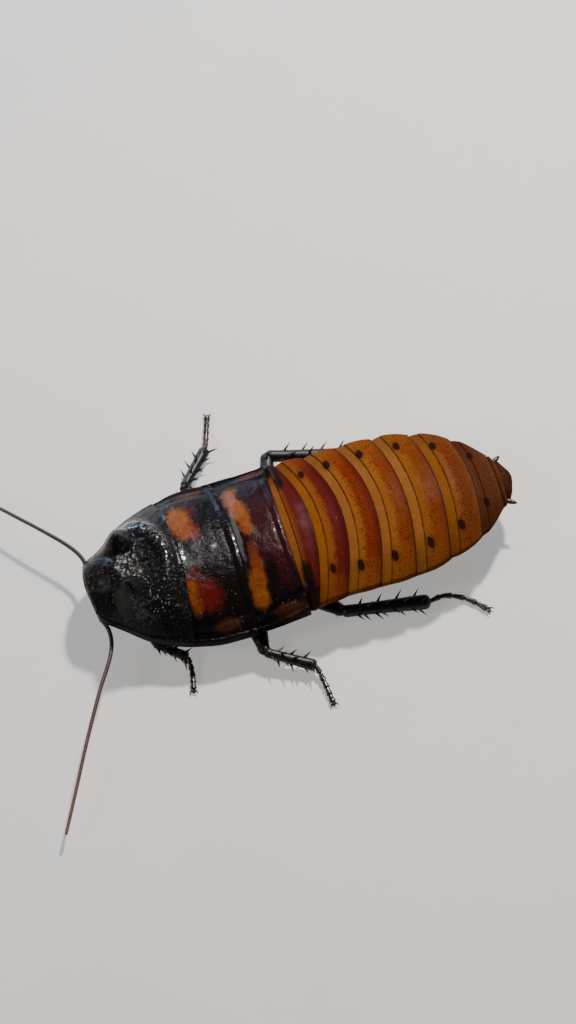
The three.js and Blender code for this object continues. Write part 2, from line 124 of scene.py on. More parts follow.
class Flow:
    """A smooth line through stations that never overshoots them."""

    def __init__(self, places: Sequence[float], values: Sequence[float]) -> None:
        """Works out the lean at each station as the weighted harmonic mean of its slopes.

        Args:
            places: Where the stations stand.
            values: The value at each station.
        """
        self.places = np.array(places, float)
        self.values = np.array(values, float)
        self.steps = np.diff(self.places)
        slopes = np.diff(self.values) / self.steps
        before = 2 * self.steps[1:] + self.steps[:-1]
        after = self.steps[1:] + 2 * self.steps[:-1]
        turns = slopes[:-1] * slopes[1:] <= 0
        safe = np.where(turns, 1.0, slopes[:-1]), np.where(turns, 1.0, slopes[1:])
        inner = np.where(turns, 0.0, (before + after) / (before / safe[0] + after / safe[1]))
        self.lean = np.concatenate([[slopes[0]], inner, [slopes[-1]]])

    def __call__(self, place: np.ndarray) -> np.ndarray:
        """The cubic through the two stations round each place, with their leans.

        Args:
            place: Places on the line.

        Returns:
            The values there.
        """
        place = np.asarray(place, float)
        i = np.clip(np.searchsorted(self.places, place) - 1, 0, len(self.steps) - 1)
        h = self.steps[i]
        t = (place - self.places[i]) / h
        ends = (1 + 2 * t) * (1 - t) ** 2 * self.values[i] + t * t * (3 - 2 * t) * self.values[i + 1]
        return ends + t * (1 - t) ** 2 * h * self.lean[i] + t * t * (t - 1) * h * self.lean[i + 1]


@dataclass(frozen=True)
class Station:
    """One cross-section of the body, in mm."""

    at: float
    half: float
    edge: float
    crown: float


@dataclass(frozen=True)
class Margin:
    """The rear margin of a plate: its place on the midline and its sideways sweep, in mm."""

    name: str
    at: float
    bow: float

    def line(self, u: np.ndarray) -> np.ndarray:
        """Place of the margin across the body: at + bow u^2."""
        return self.at + self.bow * u * u


# The same sections and margins as the solids are cut from.
STATIONS = (
    Station(0, 3.2, 7.5, 8.7),
    Station(1.2, 5.1, 6.3, 10),
    Station(3.5, 6.9, 5.5, 11.2),
    Station(8, 10.6, 5.2, 12),
    Station(14, 13, 5, 10.9),
    Station(18, 13.7, 4.9, 10.2),
    Station(24.3, 13.7, 4.9, 9.9),
    Station(30, 13.3, 6.2, 9.9),
    Station(34, 12.9, 7.3, 9.9),
    Station(38.5, 12.7, 7.5, 9.9),
    Station(43.5, 12.8, 7.6, 10.2),
    Station(48.8, 12.6, 7.7, 10.4),
    Station(54, 11.5, 7.8, 10.4),
    Station(59.5, 9.1, 7.5, 9.5),
    Station(63.5, 5.5, 6.8, 8.2),
    Station(66.5, 2.2, 6, 7),
)

TAIL_END = STATIONS[-1].at

BACK = (
    Margin("pronotum", 14.7, -1.3),
    Margin("mesonotum", 23.4, -0.7),
    Margin("metanotum", 30.8, 0.3),
    Margin("tergite_1", 35.1, -2.6),
    Margin("tergite_2", 39.9, -2.9),
    Margin("tergite_3", 44.8, -2.6),
    Margin("tergite_4", 49.7, -1.9),
    Margin("tergite_5", 55, -1.6),
    Margin("tergite_6", 60.4, -1.2),
    Margin("tergite_7", 64.1, -0.1),
    Margin("tergite_8", 65, -0.2),
    Margin("supra_anal_plate", 66.5, -0.6),
)

BELLY = (
    Margin("sternite_2", 36.6, -0.7),
    Margin("sternite_3", 41.6, -0.7),
    Margin("sternite_4", 46.6, -0.7),
    Margin("sternite_5", 51.6, -0.7),
    Margin("sternite_6", 56.6, -0.7),
    Margin("sternite_7", 60.6, -0.7),
    Margin("subgenital_plate", 65.6, -0.8),
)


@dataclass
class BodyLines:
    """The lines that every plate of the body is cut from."""

    stations: tuple[Station, ...] = STATIONS
    half: Flow = field(init=False)
    edge: Flow = field(init=False)
    crown: Flow = field(init=False)

    def __post_init__(self) -> None:
        """Runs a smooth line through each size of the stations."""
        places = [station.at for station in self.stations]
        self.half = Flow(places, [station.half for station in self.stations])
        self.edge = Flow(places, [station.edge for station in self.stations])
        self.crown = Flow(places, [station.crown for station in self.stations])
        low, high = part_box("pronotum")
        self.origin = np.array([(low.x + high.x) / 2 / MM, low.y / MM, 0.0])

    def dorsal(self, u: np.ndarray, s: np.ndarray) -> np.ndarray:
        """Height of the back: edge + (crown - edge)(1 - |u|^2.1)^0.9."""
        dome = np.maximum(0.0, 1 - np.abs(u) ** 2.1) ** 0.9
        return self.edge(s) + (self.crown(s) - self.edge(s)) * dome

    def row(self, points: np.ndarray) -> np.ndarray:
        """Body coordinates in mm as the frame's own, in metres."""
        return (np.asarray(points, float) + self.origin) * MM


# Meshes.
@dataclass
class Draft:
    """A mesh in the making: closed skins are laid in one by one, then built as one piece."""

    body: BodyLines
    points: list[np.ndarray] = field(default_factory=list)
    quads: list[np.ndarray] = field(default_factory=list)
    tris: list[np.ndarray] = field(default_factory=list)
    marks: list[np.ndarray] = field(default_factory=list)
    count: int = 0

    def lay(self, points: np.ndarray, quads: np.ndarray, tris: np.ndarray, marks: np.ndarray) -> None:
        """Adds one closed skin, turned outward by the sign of its volume.

        Args:
            points: Corners, one to a row, in body coordinates.
            quads: Four-sided faces as rows of corner numbers.
            tris: Three-sided faces as rows of corner numbers.
            marks: A pair of pattern numbers for each corner.
        """
        fan = np.concatenate([quads[:, [0, 1, 2]], quads[:, [0, 2, 3]], tris])
        a, b, c = (points[fan[:, k]] - points.mean(0) for k in range(3))
        if np.einsum("ij,ij->", a, np.cross(b, c)) < 0:
            quads, tris = quads[:, ::-1], tris[:, ::-1]
        self.points.append(points)
        self.quads.append(quads + self.count)
        self.tris.append(tris + self.count)
        self.marks.append(marks)
        self.count += len(points)

    def skin(self, grid: np.ndarray, marks: np.ndarray | None = None) -> None:
        """Lays in a skin of rings: each ring closes on itself, and a fan closes each end.

        Args:
            grid: Corners as rings by places round the ring by x, s and z.
            marks: Pattern numbers of the same layout, with two numbers in place of three.
        """
        rings, around = grid.shape[:2]
        if marks is None:
            along = np.broadcast_to(np.linspace(0, 1, rings)[:, None], (rings, around))
            turn = np.broadcast_to(np.linspace(0, 1, around)[None, :], (rings, around))
            marks = np.stack([along, turn], -1)
        index = np.arange(rings * around).reshape(rings, around)
        after = np.roll(index, -1, 1)
        quads = np.stack([index[:-1], after[:-1], after[1:], index[1:]], -1).reshape(-1, 4)
        first, last = rings * around, rings * around + 1
        start = np.stack([np.full(around, first), after[0], index[0]], -1)
        finish = np.stack([np.full(around, last), index[-1], after[-1]], -1)
        points = np.concatenate([grid.reshape(-1, 3), grid[0].mean(0)[None], grid[-1].mean(0)[None]])
        flat = np.concatenate([marks.reshape(-1, 2), marks[0].mean(0)[None], marks[-1].mean(0)[None]])
        self.lay(points, quads, np.concatenate([start, finish]), flat)

    def build(self, name: str, finish: bpy.types.Material, sharp: float = 42.0) -> bpy.types.Object:
        """Makes the object of all skins laid in.

        Args:
            name: Name of the object.
            finish: Its material.
            sharp: Edges that bend more than this many degrees stay crisp.

        Returns:
            The object, at the origin, with its place in its mesh.
        """
        points = self.body.row(np.concatenate(self.points))
        quads, tris = np.concatenate(self.quads), np.concatenate(self.tris)
        mesh = bpy.data.meshes.new(name)
        mesh.from_pydata(points.tolist(), [], quads.tolist() + tris.tolist())
        layer = mesh.uv_layers.new(name="Pattern")
        order = np.concatenate([quads.ravel(), tris.ravel()])
        layer.data.foreach_set("uv", np.concatenate(self.marks)[order].astype(np.float32).ravel())
        mesh.polygons.foreach_set("use_smooth", np.ones(len(mesh.polygons), bool))
        mesh.set_sharp_from_angle(angle=math.radians(sharp))
        mesh.materials.append(finish)
        mesh.update()
        piece = bpy.data.objects.new(name, mesh)
        bpy.context.scene.collection.objects.link(piece)
        return piece


def limb_axes(start: np.ndarray, finish: np.ndarray) -> tuple[np.ndarray, np.ndarray, np.ndarray]:
    """Unit directions along a limb, level across it, and over it.

    Args:
        start: First point of the limb.
        finish: Last point of the limb.

    Returns:
        The three directions, each at right angles to the others.
    """
    along = (finish - start) / np.linalg.norm(finish - start)
    side = np.cross(along, [0.0, 0.0, 1.0])
    side /= np.linalg.norm(side)
    return along, side, np.cross(side, along)


def spline_path(points: np.ndarray, count: int) -> np.ndarray:
    """A rounded path through points, spaced evenly by length.

    Each stretch is the cubic whose leans are half the step between its neighbours.

    Args:
        points: Points that the path goes through.
        count: How many places to give back.

    Returns:
        The places, one to a row.
    """
    ends = np.concatenate([[2 * points[0] - points[1]], points, [2 * points[-1] - points[-2]]])
    t = np.linspace(0, 1, 40, endpoint=False)[:, None]
    fine = []
    for before, here, there, beyond in zip(ends[:-3], ends[1:-2], ends[2:-1], ends[3:]):
        lean, arrive = (there - before) / 2, (beyond - here) / 2
        whole = (1 + 2 * t) * (1 - t) ** 2 * here + t * t * (3 - 2 * t) * there
        fine.append(whole + t * (1 - t) ** 2 * lean + t * t * (t - 1) * arrive)
    line = np.concatenate(fine + [points[-1:]])
    run = np.concatenate([[0], np.cumsum(np.linalg.norm(np.diff(line, axis=0), axis=1))])
    even = np.linspace(0, run[-1], count)
    return np.stack([np.interp(even, run, line[:, k]) for k in range(3)], -1)


def tube(path: np.ndarray, across: np.ndarray, over: np.ndarray, around: int = 24) -> np.ndarray:
    """Rings along a path: place + across cos(a) side + over sin(a) up.

    Args:
        path: Places along the middle, one to a row.
        across: Half width of each ring, level across the path.
        over: Half height of each ring.
        around: Places round a ring.

    Returns:
        A grid of rings by places by x, s and z.
    """
    ahead = np.gradient(path, axis=0)
    ahead /= np.linalg.norm(ahead, axis=1)[:, None]
    side = np.cross(ahead, [0.0, 0.0, 1.0])
    side /= np.linalg.norm(side, axis=1)[:, None]
    up = np.cross(side, ahead)
    angle = np.linspace(0, 2 * math.pi, around, endpoint=False)
    wide = (across[:, None] * np.cos(angle))[..., None] * side[:, None]
    tall = (over[:, None] * np.sin(angle))[..., None] * up[:, None]
    return path[:, None] + wide + tall


def thorns(
    draft: Draft,
    roots: np.ndarray,
    leans: np.ndarray,
    long: np.ndarray,
    thick: np.ndarray,
) -> None:
    """Lays in curved spines, all of one pattern, each ring shrinking as 1 - 0.97 t^1.3.

    Args:
        draft: The mesh that they join.
        roots: Where each starts, inside what it grows from.
        leans: Unit direction of each.
        long: Length of each, in mm.
        thick: Radius of each at its root, in mm.
    """
    sides, rings = 6, 5
    t = np.linspace(0, 1, rings)
    radius = (1 - 0.97 * t**1.3)[None, :] * thick[:, None]
    helper = np.where(np.abs(leans[:, 2:3]) < 0.9, [[0.0, 0.0, 1.0]], [[1.0, 0.0, 0.0]])
    side = np.cross(leans, helper)
    side /= np.linalg.norm(side, axis=1)[:, None]
    up = np.cross(leans, side)
    droop = -0.12 * (t**2)[None, :, None] * long[:, None, None] * up[:, None]
    middle = roots[:, None] + leans[:, None] * (t[None, :] * long[:, None])[..., None] + droop
    angle = np.linspace(0, 2 * math.pi, sides, endpoint=False)
    ring = np.cos(angle)[:, None] * side[:, None] + np.sin(angle)[:, None] * up[:, None]
    grid = middle[:, :, None] + radius[:, :, None, None] * ring[:, None]
    for one in grid:
        draft.skin(one)


def ball(centre: Sequence[float], reach: Sequence[float], rings: int, around: int) -> np.ndarray:
    """Rings of a ball squeezed to three half sizes, from its lowest point to its top.

    Args:
        centre: Its middle.
        reach: Its half sizes across, along and over.
        rings: How many rings.
        around: Places round a ring.

    Returns:
        A grid of rings by places by x, s and z.
    """
    level = np.linspace(-0.497, 0.497, rings) * math.pi
    angle = np.linspace(0, 2 * math.pi, around, endpoint=False)
    x = np.cos(level)[:, None] * np.cos(angle) * reach[0] + centre[0]
    s = np.cos(level)[:, None] * np.sin(angle) * reach[1] + centre[1]
    z = np.broadcast_to((np.sin(level) * reach[2] + centre[2])[:, None], x.shape)
    return np.stack([x, s, z], -1)


# Finishes.
class Wire:
    """A number that varies over a surface. Its operators add Math nodes."""

    def __init__(self, recipe: "Recipe", socket: bpy.types.NodeSocket) -> None:
        """Keeps the socket and the recipe that it belongs to."""
        self.recipe = recipe
        self.socket = socket

    def _sum(self, operation: str, a: "Wire | float", b: "Wire | float", clamp: bool = False) -> "Wire":
        """One Math node of two values."""
        settings = {"operation": operation, "use_clamp": clamp}
        return self.recipe.node("ShaderNodeMath", settings, {0: a, 1: b})

    def __add__(self, other: "Wire | float") -> "Wire":
        """This value plus the other."""
        return self._sum("ADD", self, other)

    __radd__ = __add__

    def __sub__(self, other: "Wire | float") -> "Wire":
        """This value less the other."""
        return self._sum("SUBTRACT", self, other)

    def __rsub__(self, other: float) -> "Wire":
        """The other value less this one."""
        return self._sum("SUBTRACT", other, self)

    def __mul__(self, other: "Wire | float") -> "Wire":
        """This value times the other."""
        return self._sum("MULTIPLY", self, other)

    __rmul__ = __mul__

    def __truediv__(self, other: "Wire | float") -> "Wire":
        """This value over the other."""
        return self._sum("DIVIDE", self, other)

    def __rtruediv__(self, other: float) -> "Wire":
        """The other value over this one."""
        return self._sum("DIVIDE", other, self)

    def __pow__(self, other: float) -> "Wire":
        """This value to a power."""
        return self._sum("POWER", self, other)

    def __rpow__(self, other: float) -> "Wire":
        """The other value to the power of this one."""
        return self._sum("POWER", other, self)

    def __abs__(self) -> "Wire":
        """This value without its sign."""
        return self._sum("ABSOLUTE", self, 0.0)

    def most(self, other: "Wire | float") -> "Wire":
        """The larger of the two."""
        return self._sum("MAXIMUM", self, other)

    def held(self) -> "Wire":
        """This value kept between 0 and 1."""
        return self._sum("ADD", self, 0.0, True)

    def rise(self, low: float, high: float) -> "Wire":
        """0 below low, 1 above high, and smooth between them. Falls where high is below low.

        Args:
            low: Value at which the result is 0.
            high: Value at which the result is 1.

        Returns:
            The result.
        """
        if high < low:
            return 1.0 - self.rise(high, low)
        settings = {"interpolation_type": "SMOOTHSTEP"}
        inputs = {"Value": self, "From Min": low, "From Max": high}
        return self.recipe.node("ShaderNodeMapRange", settings, inputs, "Result")

    def line(self, at: float, wide: float) -> "Wire":
        """1 on one value, falling to 0 a width away on both sides."""
        return abs(self - at).rise(wide, 0.35 * wide)


Colour = tuple[float, float, float]
Tint = Wire | Colour


@dataclass
class Recipe:
    """One material in the making."""

    name: str

    def __post_init__(self) -> None:
        """Starts an empty material with one gloss shader."""
        self.material = bpy.data.materials.new(self.name)
        self.material.use_nodes = True
        self.tree = self.material.node_tree
        self.tree.nodes.clear()
        self.shader = self.tree.nodes.new("ShaderNodeBsdfPrincipled")
        output = self.tree.nodes.new("ShaderNodeOutputMaterial")
        self.tree.links.new(self.shader.outputs["BSDF"], output.inputs["Surface"])
        self.spot = self.node("ShaderNodeTexCoord", out="Object")

    def node(
        self,
        kind: str,
        settings: dict | None = None,
        inputs: dict | None = None,
        out: int | str = 0,
    ) -> Wire:
        """Adds a node.

        Args:
            kind: The node's type.
            settings: Its own settings, set before its sockets.
            inputs: A value or a wire for each socket, by number or name.
            out: Which output to give back.

        Returns:
            The wire that comes out of it.
        """
        made = self.tree.nodes.new(kind)
        for key, value in (settings or {}).items():
            setattr(made, key, value)
        for key, value in (inputs or {}).items():
            self.feed(made.inputs[key], value)
        return Wire(self, made.outputs[out])

    def feed(self, socket: bpy.types.NodeSocket, value: Wire | float | tuple) -> None:
        """Links a wire to a socket, or sets the socket's own value.

        Args:
            socket: The input to feed.
            value: A wire, a number, or the numbers of a vector or a colour.
        """
        if isinstance(value, Wire):
            self.tree.links.new(value.socket, socket)
        elif isinstance(value, tuple) and len(socket.default_value) == 4:
            socket.default_value = (*value, 1.0)
        else:
            socket.default_value = value

    def axes(self, source: Wire) -> tuple[Wire, Wire, Wire]:
        """The three numbers of a vector.

        Args:
            source: The vector.

        Returns:
            Its first, second and third number.
        """
        first = self.node("ShaderNodeSeparateXYZ", inputs={0: source})
        outputs = first.socket.node.outputs
        return first, Wire(self, outputs[1]), Wire(self, outputs[2])

    def plan(self, origin: np.ndarray) -> tuple[Wire, Wire]:
        """Body coordinates in mm: x across, and s back from the front rim."""
        x, y, _ = self.axes(self.spot)
        return x * 1000.0 - float(origin[0]), y * 1000.0 - float(origin[1])

    def pattern(self) -> tuple[Wire, Wire]:
        """The two pattern numbers that the piece carries."""
        across, along, _ = self.axes(self.node("ShaderNodeUVMap", {"uv_map": "Pattern"}))
        return across, along

    def stretched(self, stretch: Colour | None) -> Wire:
        """The object's own coordinates, in metres, scaled where a stretch is given.

        Args:
            stretch: Scales of the three axes, or None.

        Returns:
            The coordinates.
        """
        if stretch is None:
            return self.spot
        return self.node("ShaderNodeMapping", inputs={"Vector": self.spot, "Scale": stretch})

    def noise(self, size: float, detail: float = 3.0, stretch: Colour | None = None) -> Wire:
        """Cloudy variation round 0.5.

        Args:
            size: Size of a cloud, in mm.
            detail: How many finer layers lie over it.
            stretch: Scales of the three axes: less than 1 draws the clouds out along an axis.

        Returns:
            The variation.
        """
        source = self.stretched(stretch)
        inputs = {"Vector": source, "Scale": 1000.0 / size, "Detail": detail, "Roughness": 0.55}
        return self.node("ShaderNodeTexNoise", inputs=inputs)

    def cells(self, size: float, feature: str = "F1") -> Wire:
        """Distance to the nearest of scattered points, or to the nearest edge of a cell.

        Args:
            size: How far apart the points are, in mm.
            feature: F1 for the points and DISTANCE_TO_EDGE for the edges.

        Returns:
            The distance, as a share of the size.
        """
        inputs = {"Vector": self.spot, "Scale": 1000.0 / size}
        return self.node("ShaderNodeTexVoronoi", {"feature": feature}, inputs, "Distance")

    def blend(self, share: Wire, a: Tint, b: Tint) -> Wire:
        """Colour a where the share is 0, and colour b where it is 1."""
        return self.node("ShaderNodeMix", {"data_type": "RGBA"}, {0: share, 6: a, 7: b}, 2)

    def shade(self, tint: Tint, by: Wire) -> Wire:
        """A colour made darker or lighter by a number."""
        return self.node("ShaderNodeVectorMath", {"operation": "SCALE"}, {0: tint, "Scale": by})

    def finish(
        self,
        colour: Tint,
        rough: Wire | float,
        height: Wire,
        depth: float,
        worn: Wire | None = None,
        **fixed: float | Colour,
    ) -> bpy.types.Material:
        """Feeds the shader.

        Args:
            colour: Base colour.
            rough: Roughness.
            height: Relief between 0 and 1.
            depth: How deep the relief is, in mm.
            worn: Where a clear coat lies, or None for the same coat all over.
            fixed: Other sockets of the shader, with underscores for spaces.

        Returns:
            The finished material.
        """
        self.feed(self.shader.inputs["Base Color"], colour)
        self.feed(self.shader.inputs["Roughness"], rough)
        if worn is not None:
            self.feed(self.shader.inputs["Coat Weight"], worn)
        for key, value in fixed.items():
            self.feed(self.shader.inputs[key.replace("_", " ")], value)
        inputs = {"Height": height, "Distance": depth * MM, "Strength": 1.0}
        self.feed(self.shader.inputs["Normal"], self.node("ShaderNodeBump", inputs=inputs, out="Normal"))
        return self.material


@dataclass(frozen=True)
class Stain:
    """A patch of colour with a frayed edge, in body coordinates and mm."""

    x: float
    s: float
    across: float
    along: float
    colour: Colour
    strength: float = 0.92
    soft: float = 0.42
    fray: float = 1.2

    def lay(self, r: Recipe, under: Tint, x: Wire, s: Wire, cloud: Wire) -> Wire:
        """Lays the patch over a colour: full inside an ellipse whose edge a cloud moves.

        Args:
            r: The material in the making.
            under: Colour round the patch.
            x: Place across the body.
            s: Place along the body.
            cloud: Cloudy variation round 0.5.

        Returns:
            The mixed colour.
        """
        far = (((x - self.x) / self.across) ** 2.0 + ((s - self.s) / self.along) ** 2.0) ** 0.5
        inside = (far + (cloud - 0.5) * self.fray).rise(1.0 + self.soft, 1.0 - self.soft)
        return r.blend(inside * self.strength, under, self.colour)


BLACK = (0.0045, 0.0035, 0.0035)


@dataclass(frozen=True)
class ShieldFinish:
    """Black pitted horn of the neck shield, with pale specks painted on its granules as glints and a gloss on
    its ridge.
    """

    base: Colour = (0.0045, 0.0043, 0.0045)
    brown: Colour = (0.012, 0.006, 0.0045)
    # Colour of the painted highlight specks on the granules.
    speck: Colour = (0.26, 0.29, 0.27)
    rim: Colour = (0.20, 0.20, 0.16)
    disc_at: float = 8.6
    disc_half: float = 7.2
    disc_long: float = 4.2
    granule_size: float = 0.40
    pit_size: float = 0.33
    depth: float = 0.12
    gloss: float = 0.09
    coat: float = 0.9

    def make(self, body: BodyLines) -> bpy.types.Material:
        """Builds the material. The ridge is where the distance from the disc's middle is 1.04.

        Args:
            body: The body, for the origin of its coordinates.

        Returns:
            The finished material.
        """
        r = Recipe("shield_black")
        x, s = r.plan(body.origin)
        cloud, fine, patchy = r.noise(2.6), r.noise(0.16, 4.0), r.noise(1.1, 4.0)
        disc = ((x / self.disc_half) ** 2.0 + ((s - self.disc_at) / self.disc_long) ** 2.0) ** 0.5
        crest = disc.line(1.04, 0.24) * s.rise(5.0, 8.0)
        slope = patchy.rise(0.42, 0.60) * (1.0 - abs(x).rise(7.0, 10.0)) * 0.28
        granule = r.cells(self.granule_size).rise(0.40, 0.14)
        # Painted highlight: pale specks on the granules, most along the ridge and on the front slopes, stand
        # in for glints.
        lit = granule * (crest * 1.5 + slope + 0.05).held() * r.noise(0.55, 2.0).rise(0.42, 0.60)
        colour = r.blend(cloud.rise(0.5, 0.75), self.base, self.brown)
        colour = r.blend((lit * 0.85).held(), colour, self.speck)
        edge = r.noise(0.9).rise(0.4, 0.6) * (s - 0.6 * (x / 5.0) ** 2.0).rise(0.55, 0.15)
        colour = r.blend(edge * 0.5, colour, self.rim)
        pits = r.cells(self.pit_size).rise(0.02, 0.30)
        height = granule * 0.55 + pits * 0.35 + fine * 0.2 + r.noise(0.9, 2.0) * 0.5
        rough = 0.17 + 0.16 * fine + 0.08 * cloud
        worn = (crest * 1.2 + 0.04).held() * r.noise(0.7, 3.0).rise(0.38, 0.58) * self.coat
        sockets = dict(Specular_IOR_Level=self.gloss, Coat_Roughness=0.16)
        return r.finish(colour, rough, height, self.depth, worn, **sockets)


@dataclass(frozen=True)
class NotumFinish:
    """Black plate of the thorax with its own stains, pale flecks and a glossy, dimpled skin."""

    name: str
    stains: tuple[Stain, ...]
    gloss: float = 0.07
    coat: float = 0.35
    dust: Colour = (0.20, 0.20, 0.19)
    depth: float = 0.09

    def make(self, body: BodyLines) -> bpy.types.Material:
        """Builds the material. The coat lies in broken streaks and fades out from 3 to 9 mm aside.

        Args:
            body: The body, for the origin of its coordinates.

        Returns:
            The finished material.
        """
        r = Recipe(self.name)
        x, s = r.plan(body.origin)
        fray, cloud, grain = r.noise(0.9, 6.0), r.noise(3.2), r.noise(0.2, 4.0)
        mottle = r.noise(0.6, 5.0)
        colour: Tint = BLACK
        for stain in self.stains:
            colour = stain.lay(r, colour, x, s, fray)
        colour = r.shade(colour, 0.45 + 1.1 * mottle)
        streaks = r.noise(0.7, 4.0, stretch=(1.0, 0.4, 1.0)).rise(0.60, 0.72)
        colour = r.blend(streaks * 0.55, colour, BLACK)
        # Sparse small pale flecks on the colour, also raised a little in the relief.
        flecked = r.cells(0.62).rise(0.17, 0.09) * r.noise(1.7).rise(0.50, 0.62)
        colour = r.blend(flecked * 0.6, colour, self.dust)
        pits = r.cells(0.45).rise(0.04, 0.28)
        height = pits * 0.4 + grain * 0.3 + r.noise(0.8, 4.0) * 1.1 + flecked * 0.3
        rough = 0.12 + 0.12 * grain + 0.06 * cloud
        broken = r.noise(0.8, 3.0, stretch=(1.0, 0.5, 1.0)).rise(0.50, 0.62)
        worn = broken * abs(x).rise(9.0, 3.0) * self.coat
        sockets = dict(Specular_IOR_Level=self.gloss, Coat_Roughness=0.12)
        return r.finish(colour, rough, height, self.depth, worn, **sockets)


@dataclass(frozen=True)
class BandFinish:
    """Amber plate of the abdomen: light front, thin dark line, darker rear band and two spots.

    The pattern runs along v, 0 at the plate's front and 1 at its rear margin. The two spots stand
    spot_x aside of the midline at spot_s, in mm, and are as wide as spot and tall times as long.
    """

    name: str
    front: Colour
    middle: Colour
    band: Colour
    rear: Colour
    start: float = 0.44
    strength: float = 0.92
    reach: float = 0.66
    spot_x: float = 9.0
    spot_s: float = 45.0
    spot: float = 0.85
    tall: float = 0.6
    line_at: float = 0.28
    gloss: float = 0.006
    freckles: float = 0.85
    stains: tuple[Stain, ...] = ()
    freckle: Colour = (0.030, 0.0045, 0.0015)
    speck: Colour = (0.42, 0.22, 0.10)
    line: Colour = (0.030, 0.009, 0.003)
    margin: Colour = (0.030, 0.008, 0.004)
    halo: Colour = (0.05, 0.012, 0.004)
    depth: float = 0.035

    def make(self, body: BodyLines) -> bpy.types.Material:
        """Builds the material, from the light front back to the dark margin and the spots.

        Args:
            body: The body, for the origin of its coordinates.

        Returns:
            The finished material.
        """
        r = Recipe(self.name)
        across, v = r.pattern()
        u = abs(across * 2.0 - 1.0)
        x, s = r.plan(body.origin)
        cloud, fine, mottle = r.noise(2.4), r.noise(0.22, 4.0), r.noise(0.55, 5.0)
        colour = self.bands(r, u, v, cloud, mottle)
        colour = self.marks(r, colour, v)
        for stain in self.stains:
            colour = stain.lay(r, colour, x, s, r.noise(1.0, 4.0))
        ragged = (r.noise(0.5, 3.0) - 0.5) * 1.2
        aside, beyond = (abs(x) - self.spot_x) / self.spot, (s - self.spot_s) / (self.spot * self.tall)
        far = aside**2.0 + beyond**2.0
        colour = r.blend((far + ragged).rise(1.4, 0.7), colour, BLACK)
        colour = r.blend((far + ragged * 2.0).rise(4.5, 1.5) * 0.25, colour, self.halo)
        pits = r.cells(0.3).rise(0.02, 0.24)
        height = pits * 0.4 + fine * 0.3 + r.noise(0.7, 4.0) * 0.3
        rough = 0.20 + 0.14 * fine + 0.08 * cloud
        return r.finish(colour, rough, height, self.depth, Specular_IOR_Level=self.gloss)

    def bands(self, r: Recipe, u: Wire, v: Wire, cloud: Wire, mottle: Wire) -> Wire:
        """Colours of the front, the middle, the band and the rear, with wavering borders.

        Args:
            r: The material in the making.
            u: Distance from the midline, 1 at the side.
            v: Place along the plate.
            cloud: Wide variation round 0.5.
            mottle: Fine variation round 0.5.

        Returns:
            The mixed colour, with freckles along the band's front.
        """
        streak = r.noise(0.45, 4.0, stretch=(1.0, 0.35, 1.0))
        way = v + (cloud - 0.5) * 0.10 + (mottle - 0.5) * 0.22 + (streak - 0.5) * 0.12
        aside = u + (cloud - 0.5) * 0.3 + (mottle - 0.5) * 0.2
        side = aside.rise(self.reach + 0.26, self.reach - 0.14)
        colour = r.blend(v.rise(self.line_at - 0.04, self.line_at + 0.06), self.front, self.middle)
        colour = r.blend(u.rise(0.55, 0.95) * 0.7, colour, self.middle)
        colour = r.shade(colour, (0.70 + 0.60 * mottle) * (1.0 - 0.22 * u.rise(0.45, 0.9)))
        band = way.rise(self.start - 0.02, self.start + 0.20) * (0.35 + 0.65 * side)
        colour = r.blend((band * self.strength).held(), colour, self.band)
        colour = r.blend(way.rise(0.74, 0.97) * (0.40 + 0.60 * side), colour, self.rear)
        dots = r.cells(0.40).rise(0.40, 0.20) * r.noise(1.1, 3.0).rise(0.34, 0.50)
        thinner = 1.0 - way.rise(0.75, 1.05) * 0.6
        dots = dots * way.rise(self.line_at, self.start + 0.06) * thinner
        return r.blend(dots * self.freckles, colour, self.freckle)

    def marks(self, r: Recipe, colour: Tint, v: Wire) -> Wire:
        """Adds pale specks, the thin broken line and the dark rear margin.

        Args:
            r: The material in the making.
            colour: Colour under the marks.
            v: Place along the plate.

        Returns:
            The mixed colour.
        """
        specks = r.cells(0.5).rise(0.16, 0.09) * r.noise(1.5).rise(0.54, 0.64)
        colour = r.blend(specks * 0.5, colour, self.speck)
        broken = 0.45 + 0.55 * r.noise(0.8).rise(0.35, 0.6)
        colour = r.blend(v.line(self.line_at, 0.022) * broken, colour, self.line)
        return r.blend(v.rise(0.965, 0.99) * 0.85, colour, self.margin)


@dataclass(frozen=True)
class HornFinish:
    """Smooth horn of the limbs, the head or the belly: two tones, pores and a gloss."""

    name: str
    dark: Colour
    light: Colour
    share: tuple[float, float] = (0.5, 0.8)
    grain: float = 0.35
    depth: float = 0.03
    rough: float = 0.2
    coat: float = 0.4
    joint: Colour | None = None

    def make(self) -> bpy.types.Material:
        """Builds the material.

        Returns:
            The finished material.
        """
        r = Recipe(self.name)
        cloud, fine = r.noise(1.8), r.noise(0.14, 4.0)
        colour = r.blend(cloud.rise(*self.share), self.dark, self.light)
        colour = r.shade(colour, 0.75 + 0.5 * r.noise(0.6, 4.0))
        if self.joint:
            along, _ = r.pattern()
            ends = along.rise(0.06, 0.0).most(along.rise(0.94, 1.0))
            colour = r.blend(ends * 0.7, colour, self.joint)
        height = r.cells(self.grain).rise(0.02, 0.3) * 0.6 + fine * 0.3 + r.noise(0.9) * 0.3
        gloss = dict(Coat_Weight=self.coat, Coat_Roughness=0.15, Specular_IOR_Level=0.3)
        return r.finish(colour, self.rough + 0.2 * fine, height, self.depth, **gloss)


